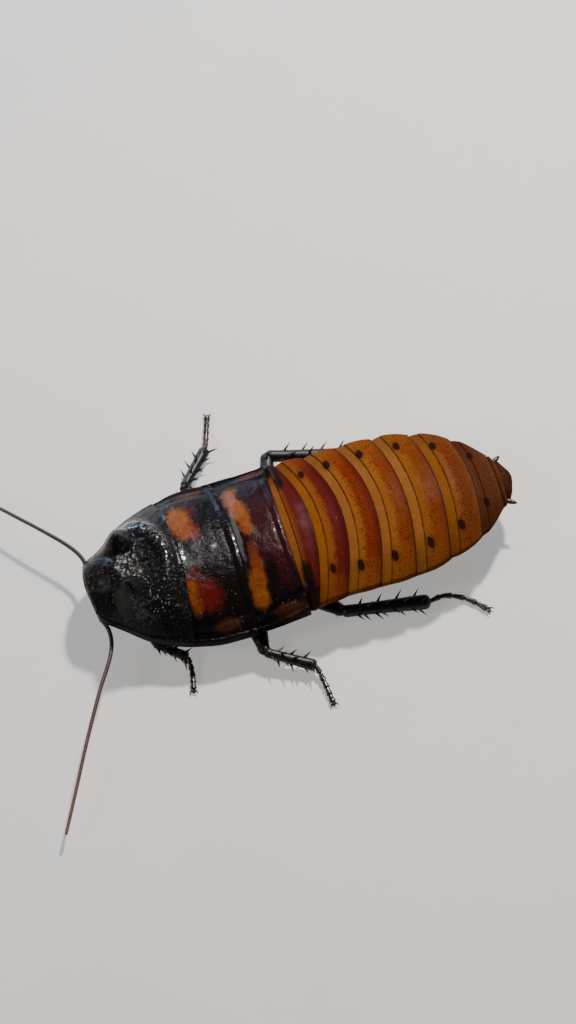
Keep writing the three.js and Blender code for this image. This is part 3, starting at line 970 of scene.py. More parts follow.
@dataclass(frozen=True)
class FeelerFinish:
    """Ringed thread of an antenna: dark near the head, reddish brown further out."""

    name: str
    start: Colour
    finish: Colour
    rings: int
    joint: Colour = (0.03, 0.012, 0.008)
    joint_wide: float = 0.22

    def make(self) -> bpy.types.Material:
        """Builds the material. A ring's share of the way along is the fraction of rings times v.

        Returns:
            The finished material.
        """
        r = Recipe(self.name)
        along, _ = r.pattern()
        colour = r.blend(along, self.start, self.finish)
        turn = r.node("ShaderNodeMath", {"operation": "FRACT"}, {0: along * float(self.rings)})
        joint = turn.line(0.0, self.joint_wide).most(turn.line(1.0, self.joint_wide))
        colour = r.blend(joint * 0.55, colour, self.joint)
        colour = r.shade(colour, 0.7 + 0.6 * r.noise(0.3, 3.0))
        return r.finish(colour, 0.38 + 0.2 * r.noise(0.2), r.noise(0.08, 3.0), 0.02, Coat_Weight=0.1)


@dataclass(frozen=True)
class EyeFinish:
    """Black compound eye of tiny six-sided lenses."""

    name: str = "eye_black"
    edge: Colour = (0.002, 0.0015, 0.0015)
    lens: Colour = (0.014, 0.009, 0.008)
    lens_size: float = 0.075

    def make(self) -> bpy.types.Material:
        """Builds the material.

        Returns:
            The finished material.
        """
        r = Recipe(self.name)
        lens = r.cells(self.lens_size, "DISTANCE_TO_EDGE").rise(0.0, 0.2)
        colour = r.blend(lens, self.edge, self.lens)
        rough = 0.14 + 0.1 * (1.0 - lens)
        return r.finish(colour, rough, lens, 0.012, Coat_Weight=0.25, Coat_Roughness=0.06)


@dataclass(frozen=True)
class FloorFinish:
    """Plain pale floor with the faintest grain, and a little light of its own."""

    name: str = "floor_pale"
    dark: Colour = (0.42, 0.40, 0.37)
    light: Colour = (0.46, 0.44, 0.41)
    glow: Colour = (1.0, 0.985, 0.95)
    glow_strength: float = 0.36

    def make(self) -> bpy.types.Material:
        """Builds the material.

        Returns:
            The finished material.
        """
        r = Recipe(self.name)
        colour = r.blend(r.noise(14.0), self.dark, self.light)
        glow = {"Emission_Color": self.glow, "Emission_Strength": self.glow_strength}
        return r.finish(colour, 0.62 + 0.1 * r.noise(3.0), r.noise(0.6, 2.0), 0.02, **glow)


# The body's pieces.
class Side(Enum):
    """Which side of the body something is on, and the sign of x there."""

    LEFT = 1
    RIGHT = -1

    @property
    def word(self) -> str:
        """The side as part of a name."""
        return self.name.lower()


@dataclass
class Owner:
    """Hands finished pieces over to the frame."""

    made: list[str] = field(default_factory=list)

    def give(self, piece: bpy.types.Object, node: str, slot: str) -> None:
        """Makes a piece stand for a node and ride with the body.

        Args:
            piece: The finished piece.
            node: The solid that it replaces.
            slot: Not used.
        """
        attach(piece, "root")
        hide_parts(node)
        self.made.append(piece.name)
        LOG.info("%s: %d faces", piece.name, len(piece.data.polygons))


def closing(wide: np.ndarray, start: float) -> np.ndarray:
    """How thick a shell still is near its side edges: a quarter circle from start out to 1."""
    return np.sqrt(np.maximum(0.02, 1 - (np.clip((wide - start) / (1 - start), 0, 1)) ** 2))


@dataclass
class BackPlate:
    """One plate of the back: a bent shell whose front tucks under the plate before it."""

    body: BodyLines
    index: int
    step: float = 0.4
    inset: float = 0.25
    lead: float = 1.1
    lip: float = 0.15
    deep: float = 1.0
    side_deep: float = 0.8
    scallop: float = 0.22
    groove: float = 0.28
    groove_deep: float = 0.10
    clearance: float = 0.12
    tuck_fall: float = 0.22
    rows: int = 190

    def front(self, u: np.ndarray) -> np.ndarray:
        """Where the plate starts to show: just behind the rear margin of the one before."""
        return BACK[self.index - 1].line(u) + self.clearance

    def lift(self, u: np.ndarray, s: np.ndarray, v: np.ndarray) -> np.ndarray:
        """Relief of the top: a step down at the front, a groove, a swell and faint hills.

        Args:
            u: Place across, from -1 to 1.
            s: Place along the body.
            v: Place along the plate, from 0 to 1.

        Returns:
            Height above the back's own curve.
        """
        x = u * self.body.half(s)
        down = -self.step * (1 - smooth(0, 0.45, v))
        groove = -self.groove_deep * ridge(v, self.groove, 0.016)
        fold = 0.05 * ridge(v, self.groove + 0.05, 0.03)
        swell = 0.10 * np.sin(np.clip(v, 0, 1) * math.pi) ** 2
        hills = 0.05 * lattice(x, s, 2.6, 10 + self.index) + 0.025 * lattice(x, s, 1.1, 40 + self.index)
        return down + groove + fold + swell + hills

    def top(self, u: np.ndarray, s: np.ndarray, v: np.ndarray) -> np.ndarray:
        """Level of the top: the back's own curve and the relief."""
        return self.body.dorsal(u, s) + self.lift(u, s, v)

    def grid(self) -> tuple[np.ndarray, np.ndarray]:
        """Works out the shell: top from front to rear, round the rear lip, and back under.

        Returns:
            The grid of rings across the body, and its pattern numbers u and v.
        """
        u = widen(np.linspace(-1, 1, self.rows))[:, None]
        before, near, rest = np.linspace(0, 0.22, 8), np.linspace(0.22, 0.36, 22), np.linspace(0.36, 1, 30)
        top_v = np.concatenate([before[:-1], near[:-1], rest])
        tuck = np.linspace(1, 0, 6)[:-1]
        turn = np.linspace(0, math.pi, 8)[1:-1]
        under_v = np.array([0.97, 0.9, 0.75, 0.5, 0.25, 0.0])
        start, stop = self.front(u), BACK[self.index].line(u)
        ahead = np.clip(start - self.lead * tuck[None], 0, None)
        hidden_v = np.zeros_like(ahead) - 0.001
        fall = -self.step - self.tuck_fall * smooth(0, 0.35, tuck[None])
        parts = [(ahead, hidden_v, self.body.dorsal(u, ahead) + fall)]
        s = start + (stop - start) * top_v
        parts.append((s, top_v + 0 * s, self.top(u, s, top_v + 0 * s)))
        edge = self.top(u, stop, np.ones_like(u))
        s = stop + self.lip * np.sin(turn)
        parts.append((s, np.ones_like(s), edge - self.lip * (1 - np.cos(turn)) + 0 * s))
        s = start + (stop - start) * under_v
        thick = mix(2 * self.lip, self.depth(u), smooth(1.0, 0.55, under_v + 0 * s))
        parts.append((s, under_v + 0 * s, self.top(u, s, under_v + 0 * s) - thick))
        ahead = ahead[:, ::-1]
        thick = mix(self.depth(u), 0.35, tuck[None, ::-1])
        parts.append((ahead, hidden_v, self.body.dorsal(u, ahead) + fall[:, ::-1] - thick))
        s, v, z = (np.concatenate([part[k] for part in parts], 1) for k in range(3))
        drawn = self.inset * (1 - smooth(0, 0.45, v)) + self.scallop * (2 * v.clip(0, 1) - 1) ** 4
        x = u * (self.body.half(np.clip(s, 0, TAIL_END)) - drawn)
        marks = np.stack([np.broadcast_to(u * 0.5 + 0.5, x.shape), v], -1)
        return np.stack([x, s, self.round_sides(u, z)], -1), marks

    def depth(self, u: np.ndarray) -> np.ndarray:
        """Thickness of the shell: more on the midline than at the sides."""
        return self.side_deep + (self.deep - self.side_deep) * (1 - u * u)

    def round_sides(self, u: np.ndarray, z: np.ndarray) -> np.ndarray:
        """Draws top and bottom together at both ends so that the side edges are round."""
        middle = (z.max(1, keepdims=True) + z.min(1, keepdims=True)) / 2
        return np.where(np.abs(u) > SIDE_TURN, middle + (z - middle) * closing(np.abs(u), SIDE_TURN), z)

    def build(self, finish: bpy.types.Material) -> bpy.types.Object:
        """Makes the piece.

        Args:
            finish: Its material.

        Returns:
            The piece.
        """
        grid, marks = self.grid()
        draft = Draft(self.body)
        draft.skin(grid, marks)
        return draft.build(BACK[self.index].name + "_shell", finish)


@dataclass
class NotumPlate(BackPlate):
    """A thorax plate: no groove, a lateral furrow that sets off its side lobes, and a rolled rim."""

    step: float = 0.25
    inset: float = 0.1
    scallop: float = 0.0
    lead: float = 1.4
    deep: float = 1.2
    side_deep: float = 0.55
    rows: int = 220

    def lift(self, u: np.ndarray, s: np.ndarray, v: np.ndarray) -> np.ndarray:
        """Relief of the top: a slight step, side furrows, a rim along each side and dents.

        Args:
            u: Place across, from -1 to 1.
            s: Place along the body.
            v: Place along the plate, from 0 to 1.

        Returns:
            Height above the back's own curve.
        """
        x = u * self.body.half(s)
        wide = np.abs(u)
        down = -self.step * (1 - smooth(0, 0.3, v))
        furrow = -0.22 * ridge(wide, 0.84 - 0.05 * v, 0.035)
        rim = 0.26 * ridge(wide, 0.972, 0.016) - 0.12 * ridge(wide, 0.93, 0.02)
        wave = 0.12 * lattice(x, s, 3.4, 70 + self.index) + 0.05 * lattice(x, s, 1.3, 80 + self.index)
        rear = 0.10 * ridge(v, 0.95, 0.04) - 0.06 * ridge(v, 0.86, 0.04)
        return down + furrow + rim + wave * (1 - smooth(0.9, 1.0, wide)) + rear


@dataclass
class NeckShield:
    """The pronotum: a hood with two horns, a sunken disc and a rough ridge round the disc."""

    body: BodyLines
    horn_side: float = 4.2
    horn_at: float = 6.0
    horn_across: tuple[float, float] = (2.4, 4.4)
    horn_along: tuple[float, float] = (2.5, 3.3)
    horn_high: float = 2.84
    pit_at: float = 6.4
    pit_reach: tuple[float, float] = (2.2, 2.0)
    pit_sink: float = 0.12
    crest_at: float = 4.1
    crest_reach: tuple[float, float] = (3.4, 1.5)
    crest_high: float = 0.2
    disc_at: float = 8.6
    disc_half: float = 7.2
    disc_long: float = 4.1
    disc_sink: float = 0.9
    ridge_at: float = 1.02
    ridge_high: float = 0.65
    ridge_wide: float = 0.4
    rim_high: float = 0.16
    edge_deep: float = 0.7
    deep: float = 1.5
    rows: int = 300
    columns: int = 170
    under_columns: int = 26

    def relief(self, x: np.ndarray, s: np.ndarray) -> np.ndarray:
        """Height added to the dome: horns, sunken disc, ridge, knobs and creases.

        Each horn is a round hill whose reach differs inward from outward, and forward from
        backward. The disc sinks as a round hill turned over, and the ridge stands where the
        distance from its middle is 1.02.

        Args:
            x: Places across the body.
            s: Places along the body.

        Returns:
            The heights.
        """
        aside, beyond = np.abs(x) - self.horn_side, s - self.horn_at
        across = aside / np.where(aside < 0, *self.horn_across)
        along = beyond / np.where(beyond < 0, *self.horn_along)
        horn = self.horn_high * bump(np.hypot(across, along))
        pit = self.pit_sink * bump(np.hypot(x / self.pit_reach[0], (s - self.pit_at) / self.pit_reach[1]))
        crest_far = np.hypot(x / self.crest_reach[0], (s - self.crest_at) / self.crest_reach[1])
        saddle = self.crest_high * bump(crest_far) - pit
        disc = np.hypot(x / self.disc_half, (s - self.disc_at) / self.disc_long)
        sunk = -self.disc_sink * bump(disc / 0.95)
        behind = smooth(4.5, 7.5, s)
        off_ridge = np.abs(disc - self.ridge_at)
        crest = self.ridge_high * behind * bump(off_ridge / self.ridge_wide)
        rough = 0.10 * lattice(x, s, 1.5, 3) + 0.055 * lattice(x, s, 0.7, 4) + 0.03 * lattice(x, s, 0.38, 5)
        knobbly = 0.10 * np.abs(lattice(x, s, 0.9, 6)) * behind * bump(off_ridge / 0.5)
        crease = -0.12 * ridge(x, 0.0, 0.35) * bump(disc / 0.8)
        inner = 1 - smooth(0.93, 1.0, np.abs(x) / self.body.half(s))
        return horn + saddle + sunk + crest + crease + (rough + knobbly) * inner

    def grid(self) -> tuple[np.ndarray, np.ndarray]:
        """Works out the hood: over the top from the front rim to the rear, and back beneath.

        Returns:
            The grid of rings across the body, and its pattern numbers.
        """
        u = widen(np.linspace(-1, 1, self.rows))[:, None]
        v = np.linspace(0, 1, self.columns)
        start, stop = 0.6 * u * u, BACK[0].line(u)
        s = start + (stop - start) * v
        wide = np.abs(u)
        top = self.body.dorsal(u, s) + self.relief(u * self.body.half(s), s)
        top += self.rim_high * ridge(s - start, 0.45, 0.28) * (1 - 0.5 * wide)
        top += self.rim_high * ridge(wide, 0.972, 0.014) - 0.1 * ridge(wide, 0.93, 0.02)
        under_v = np.linspace(1, 0, self.under_columns)
        under_s = start + (stop - start) * under_v
        under = self.under(u, under_s, under_v)
        s, z = np.concatenate([s, under_s], 1), np.concatenate([top, under], 1)
        v = np.concatenate([v + 0 * u, under_v + 0 * u], 1)
        middle = self.body.dorsal(u, s) - 0.35
        z = np.where(wide > SIDE_TURN, middle + (z - middle) * closing(wide, SIDE_TURN), z)
        x = u * self.body.half(s)
        marks = np.stack([np.broadcast_to(u * 0.5 + 0.5, x.shape), v], -1)
        return np.stack([x, s, z], -1), marks

    def under(self, u: np.ndarray, s: np.ndarray, v: np.ndarray) -> np.ndarray:
        """Level of the underside: the dome less a thickness that is least at the rims.

        Args:
            u: Place across, from -1 to 1.
            s: Place along the body.
            v: Place along the shield, from 0 to 1.

        Returns:
            The levels. Under the sunken disc the underside sinks by half as much.
        """
        vault = self.deep * (1 - np.abs(u) ** 2.1).clip(0) ** 0.9
        thick = self.edge_deep + vault * smooth(0.0, 0.12, v) * smooth(1.0, 0.9, v)
        thick = thick * mix(0.55, 1.0, smooth(0.0, 0.08, v)) * mix(0.6, 1.0, smooth(1.0, 0.94, v))
        rise = 0.5 * self.relief(u * self.body.half(s), s).clip(-0.8, 0.6)
        return self.body.dorsal(u, s) - thick + np.minimum(rise, 0.0)

    def build(self, finish: bpy.types.Material) -> bpy.types.Object:
        """Makes the piece.

        Args:
            finish: Its material.

        Returns:
            The piece.
        """
        grid, marks = self.grid()
        draft = Draft(self.body)
        draft.skin(grid, marks)
        return draft.build("pronotum_shell", finish, 60.0)


@dataclass
class Underside:
    """The belly: overlapping plates under the abdomen and the soft-looking chest under the thorax."""

    body: BodyLines
    keel: float = 3.4
    tail_keel: float = 5.2
    chest_keel: float = 3.6
    chest_end: float = 30.7
    neck_gap: float = 0.3
    wall: float = 0.9
    lip: float = 0.14
    narrow: tuple[float, float] = (0.95, 0.87)

    def mid(self, s: np.ndarray) -> np.ndarray:
        """Level where the back plates end: the edge less the side wall."""
        return self.body.edge(s) - self.wall

    def belly_plate(self, index: int, finish: bpy.types.Material) -> bpy.types.Object:
        """Makes one belly plate as a closed slice whose rear edge overlaps the next.

        Its underside runs from the keel on the midline up to the skirt at both sides, with
        the share of the way |v|^2.6.

        Args:
            index: Which plate, from the front.
            finish: Its material.

        Returns:
            The piece.
        """
        v = widen(np.linspace(-1, 1, 120))[:, None]
        front = BELLY[index - 1] if index else BACK[2]
        start, stop = front.line(v) - (0.5 if index else -0.3), BELLY[index].line(v)
        along = np.concatenate([np.linspace(0, 0.12, 4)[:-1], np.linspace(0.12, 1, 26)])
        s = start + (stop - start) * along
        shown = smooth(0.08, 0.5, along)
        wide = self.body.half(s.clip(0, TAIL_END)) * self.narrow[0] - 0.12 * (1 - shown)
        keel = mix(self.keel, self.tail_keel, smooth(57, 66, s)) + 0.28 * (1 - shown)
        skirt = self.mid(s) - 0.9
        low = mix(keel, skirt, np.abs(v) ** 2.6) + 0.05 * lattice(v * wide, s, 2.4, 120 + index)
        low += 0.06 * ridge(np.abs(v), 0.62, 0.04)
        turn = np.linspace(0, math.pi, 7)[1:-1]
        lip_s = stop + self.lip * np.sin(turn)
        lip_z = low[:, -1:] + self.lip * (1 - np.cos(turn))
        thick = mix(0.3, 2.6, smooth(1.0, 0.6, along)) * (1 - 0.7 * np.abs(v))
        inner = np.minimum(self.mid(s) - 0.28, low + thick)
        back = slice(None, None, -6)
        s = np.concatenate([s, lip_s, s[:, back]], 1)
        z = np.concatenate([low, lip_z, inner[:, back]], 1)
        x = v * (self.body.half(s.clip(0, TAIL_END)) * mix(*self.narrow, smooth(50, 62, s)))
        middle = (z.max(1, keepdims=True) + z.min(1, keepdims=True)) / 2
        z = middle + (z - middle) * closing(np.abs(v), SIDE_TURN)
        draft = Draft(self.body)
        draft.skin(np.stack([x, s, z], -1))
        return draft.build(BELLY[index].name + "_shell", finish)

    def chest(self, neck: float, finish: bpy.types.Material) -> bpy.types.Object:
        """Makes the chest as rings from the neck back: a low vault with folds between the legs.

        Args:
            neck: Where it starts, in mm.
            finish: Its material.

        Returns:
            The piece.
        """
        v = widen(np.linspace(-1, 1, 60))
        s = neck + (self.chest_end - neck) * np.linspace(0, 1, 90)[:, None] + 0 * v
        u = v * (mix(0.42, 0.76, smooth(neck, 13, s)) + 0.08 * smooth(20, 30, s))
        deep = mix(1.5, 0.6, smooth(13.8, 14.8, s))
        dome = np.maximum(0, 1 - np.abs(u) ** 2.1) ** 0.9
        top = self.body.dorsal(u, s) - 0.7 - deep * dome - 0.3
        keel = self.chest_keel + 2 * (1 - smooth(neck, 10, s))
        low = np.minimum(keel + 1.5 * np.abs(v) ** 3, top - 1.0)
        low += 0.25 * ridge(s, 15.5, 0.7) + 0.25 * ridge(s, 23.8, 0.7) + 0.06 * lattice(u * 12, s, 1.6, 150)
        x = u * self.body.half(s)
        close = closing(np.abs(v), 0.9)
        middle = (top + low) / 2
        top, low = middle + (top - middle) * close, middle + (low - middle) * close
        grid = np.concatenate([np.stack([x, s, low], -1), np.stack([x, s, top], -1)[:, ::-1]], 1)
        draft = Draft(self.body)
        draft.skin(grid)
        return draft.build("thorax_underside_skin", finish)


@dataclass
class Head:
    """The head, upright under the shield: capsule, face plates, jaws, eyes, palps and lip."""

    body: BodyLines
    centre: Point = (0.0, 2.9, 5.0)
    reach: Point = (3.1, 1.75, 3.0)
    eye_centre: Point = (2.5, 2.75, 6.4)
    eye_reach: Point = (1.08, 0.98, 1.42)
    lip_path: tuple[Point, ...] = ((0, 1.55, 3.0), (0, 1.45, 2.5), (0, 1.75, 1.9))
    lip_half: float = 0.95
    jaw_path: tuple[Point, ...] = ((1.35, 2.6, 2.9), (1.25, 2.2, 2.2), (0.25, 1.95, 1.75))
    jaw_size: tuple[float, float] = (0.52, 0.42)
    palp_joints: tuple[Point, ...] = (
        (1.1, 3.4, 3.0), (2.4, 3.4, 2.4), (2.9, 2.8, 2.5), (2.7, 2.3, 1.7), (2.3, 2.1, 0.95),
    )
    palp_radii: tuple[float, ...] = (0.32, 0.33, 0.31, 0.34)
    labium_centre: Point = (0, 4.25, 2.6)
    labium_reach: Point = (1.2, 0.7, 1.15)
    labium_joints: tuple[Point, ...] = ((0.7, 4.3, 2.2), (1.3, 3.9, 1.4), (1.2, 3.1, 0.92))
    labium_radii: tuple[float, ...] = (0.28, 0.3)

    def capsule(self, finish: bpy.types.Material) -> bpy.types.Object:
        """Makes the head: a ball pinched towards the mouth, with a seam round its face plates.

        The width shrinks by 0.36 below the middle and 0.1 above it. The lip plate in front is a
        thin bent tongue, and the two jaws are short curved tubes that meet under it.

        Args:
            finish: Its material.

        Returns:
            The piece.
        """
        grid = ball((0, 0, 0), (1, 1, 1), 90, 120)
        x, s, z = grid[..., 0], grid[..., 1], grid[..., 2]
        pinch = 1 - 0.36 * smooth(0.3, -1, z) - 0.1 * smooth(0.4, 1, z)
        face = smooth(-0.2, -0.8, s)
        plate = np.maximum(np.abs(x) / 0.42, np.abs(z + 0.45) / 0.33)
        seam = -0.05 * face * ridge(plate, 1.0, 0.07)
        boss = 0.03 * face * smooth(1.05, 0.9, plate)
        brow = -0.045 * face * ridge(z, 0.12 + 0.9 * np.abs(x), 0.05) * smooth(0.6, 0.3, np.abs(x))
        socket = -0.09 * face * bump(np.hypot((np.abs(x) - 0.5) / 0.2, (z - 0.1) / 0.16))
        dent = 0.012 * lattice(x * 3, z * 3, 0.5, 200)
        swell = 1 + seam + boss + brow + socket + dent
        shape = np.stack([x * pinch * self.reach[0], s * self.reach[1], z * self.reach[2]], -1)
        draft = Draft(self.body)
        draft.skin(shape * swell[..., None] + np.array(self.centre))
        lip = spline_path(np.array(self.lip_path), 24)
        t = np.linspace(0, 1, 24)
        draft.skin(tube(lip, self.lip_half * np.sqrt(np.maximum(0.02, 1 - t**4)), 0.22 - 0.12 * t, 28))
        t = np.linspace(0, 1, 20)
        across, over = self.jaw_size[0] * (1 - 0.75 * t**1.5), self.jaw_size[1] * (1 - 0.7 * t**1.5)
        for sign in (-1, 1):
            jaw = spline_path(np.array(self.jaw_path) * [sign, 1, 1], 20)
            draft.skin(tube(jaw, across, over, 18))
        return draft.build("head_capsule", finish)

    def eye(self, side: Side, finish: bpy.types.Material) -> bpy.types.Object:
        """Makes one eye: a kidney-shaped ball, notched in front where the antenna stands.

        Args:
            side: Which eye.
            finish: Its material.

        Returns:
            The piece.
        """
        grid = ball((0, 0, 0), (1, 1, 1), 60, 72)
        notch = 1 - 0.22 * bump(np.hypot(grid[..., 1] + 1.0, grid[..., 2] + 0.25) / 0.9)
        shape = grid * notch[..., None] * np.array(self.eye_reach)
        draft = Draft(self.body)
        draft.skin(shape + np.array(self.eye_centre) * [side.value, 1, 1])
        return draft.build(f"eye_{side.word}_lens", finish)

    def palp(self, draft: Draft, joints: np.ndarray, radii: Sequence[float]) -> None:
        """Lays in a jointed feeler of the mouth, each length thicker towards its end.

        Args:
            draft: The mesh that it joins.
            joints: Its joints from root to tip, one to a row.
            radii: Radius of each length, in mm.
        """
        t = np.linspace(0, 1, 16)
        shape = (0.72 + 0.28 * smooth(0, 0.75, t)) * np.sqrt(np.maximum(0.03, 1 - (2 * t - 1) ** 8))
        for start, stop, radius in zip(joints[:-1], joints[1:], radii):
            path = start + (stop - start) * np.linspace(-0.06, 1.03, 16)[:, None]
            draft.skin(tube(path, radius * shape, radius * shape * 0.95, 16))

    def mouth(self, owner: Owner, finish: bpy.types.Material) -> None:
        """Makes the palps and the lower lip.

        Args:
            owner: Who takes the pieces.
            finish: Their material.
        """
        for side in Side:
            draft = Draft(self.body)
            self.palp(draft, np.array(self.palp_joints) * [side.value, 1, 1], self.palp_radii)
            node = f"maxillary_palp_{side.word}"
            owner.give(draft.build(node + "_skin", finish), node, "head")
        draft = Draft(self.body)
        lobe = ball(self.labium_centre, self.labium_reach, 30, 36)
        lobe[..., 1] += 0.12 * ridge(lobe[..., 0], 0.0, 0.15)
        draft.skin(lobe)
        for side in Side:
            self.palp(draft, np.array(self.labium_joints) * [side.value, 1, 1], self.labium_radii)
        owner.give(draft.build("labium_skin", finish), "labium", "head")


@dataclass
class Feeler:
    """One antenna: a thick jointed base and a long ringed thread."""

    body: BodyLines
    side: Side
    base: tuple[Point, ...]
    near: tuple[Point, ...]
    far: tuple[Point, ...]
    scape: float = 0.52
    stalk: float = 0.40
    wide: float = 0.34
    tip: float = 0.25
    rings_near: int = 44
    rings_far: int = 40

    def thread(self, points: np.ndarray, wide: float, tip: float, rings: int) -> np.ndarray:
        """Works out a thread whose joints swell: radius times 0.9 + 0.13 |sin(pi n t)|^0.6.

        Args:
            points: Points that it runs through.
            wide: Radius at its start, in mm.
            tip: Radius at its end.
            rings: How many joints it has.

        Returns:
            The grid of rings.
        """
        count = rings * 6 + 1
        t = np.linspace(0, 1, count)
        radius = mix(wide, tip, t) * (0.9 + 0.13 * np.abs(np.sin(math.pi * rings * t)) ** 0.6)
        return tube(spline_path(points, count), radius, radius, 12)

    def root(self, finish: bpy.types.Material) -> bpy.types.Object:
        """Makes the base: a club and a waisted stalk, 22 rings each.

        Args:
            finish: Its material.

        Returns:
            The piece.
        """
        points = np.array(self.base)
        t = np.linspace(0, 1, 22)
        draft = Draft(self.body)
        path = points[0] + (points[1] - points[0]) * np.linspace(-0.1, 1.0, 22)[:, None]
        wide = self.scape * (0.7 + 0.3 * smooth(0, 0.7, t)) * np.sqrt(np.maximum(0.05, 1 - (2 * t - 1) ** 10))
        draft.skin(tube(path, wide, wide, 20))
        path = points[1] + (points[2] - points[1]) * np.linspace(-0.05, 1.1, 22)[:, None]
        wide = self.stalk * (0.85 + 0.12 * np.abs(np.sin(t * math.pi * 3)))
        draft.skin(tube(path, wide, wide, 18))
        return draft.build(f"antenna_base_{self.side.word}_skin", finish)

    def make(self, owner: Owner, finishes: dict[str, bpy.types.Material]) -> None:
        """Makes the three pieces of the antenna.

        Args:
            owner: Who takes the pieces.
            finishes: Materials of the base, the near length and the far length.
        """
        owner.give(self.root(finishes["base"]), f"antenna_base_{self.side.word}", "limb")
        middle = (self.wide + self.tip) / 2
        near, far = np.array(self.near), np.array(self.far)
        near = np.concatenate([near[:1] - 0.3 * (near[1:2] - near[:1]) / 2, near[1:], far[:1]])
        threads = {
            "near": self.thread(near, self.wide, middle, self.rings_near),
            "far": self.thread(far, middle, self.tip, self.rings_far),
        }
        for part, grid in threads.items():
            draft = Draft(self.body)
            draft.skin(grid)
            node = f"antenna_{part}_{self.side.word}"
            owner.give(draft.build(node + "_skin", finishes[part]), node, "antenna")


class Pair(Enum):
    """Which pair a leg belongs to."""

    FORE = "fore"
    MIDDLE = "middle"
    HIND = "hind"


@dataclass(frozen=True)
class PairFacts:
    """What both legs of a pair share: hip of the left one, size, spines and the tibia's girth."""

    hip: Point
    size: float
    spines: int
    stout: float


PAIRS = {
    Pair.FORE: PairFacts((3.0, 8.6, 4.6), 0.85, 7, 1.1),
    Pair.MIDDLE: PairFacts((3.8, 18.6, 4.0), 1.0, 10, 1.1),
    Pair.HIND: PairFacts((3.6, 25.4, 4.0), 1.1, 14, 1.28),
}

COXA = ((0, 1.2), (0.3, 1.95), (0.7, 1.65), (1, 1.0))
TROCHANTER = ((0, 0.75), (0.5, 0.85), (1, 0.75))
FEMUR = ((0, 0.85), (0.22, 1.45), (0.6, 1.36), (0.9, 0.92), (1, 0.95))
TIBIA = ((0, 0.52), (0.06, 0.68), (0.2, 0.66), (0.6, 0.73), (0.93, 0.82), (1, 0.74))


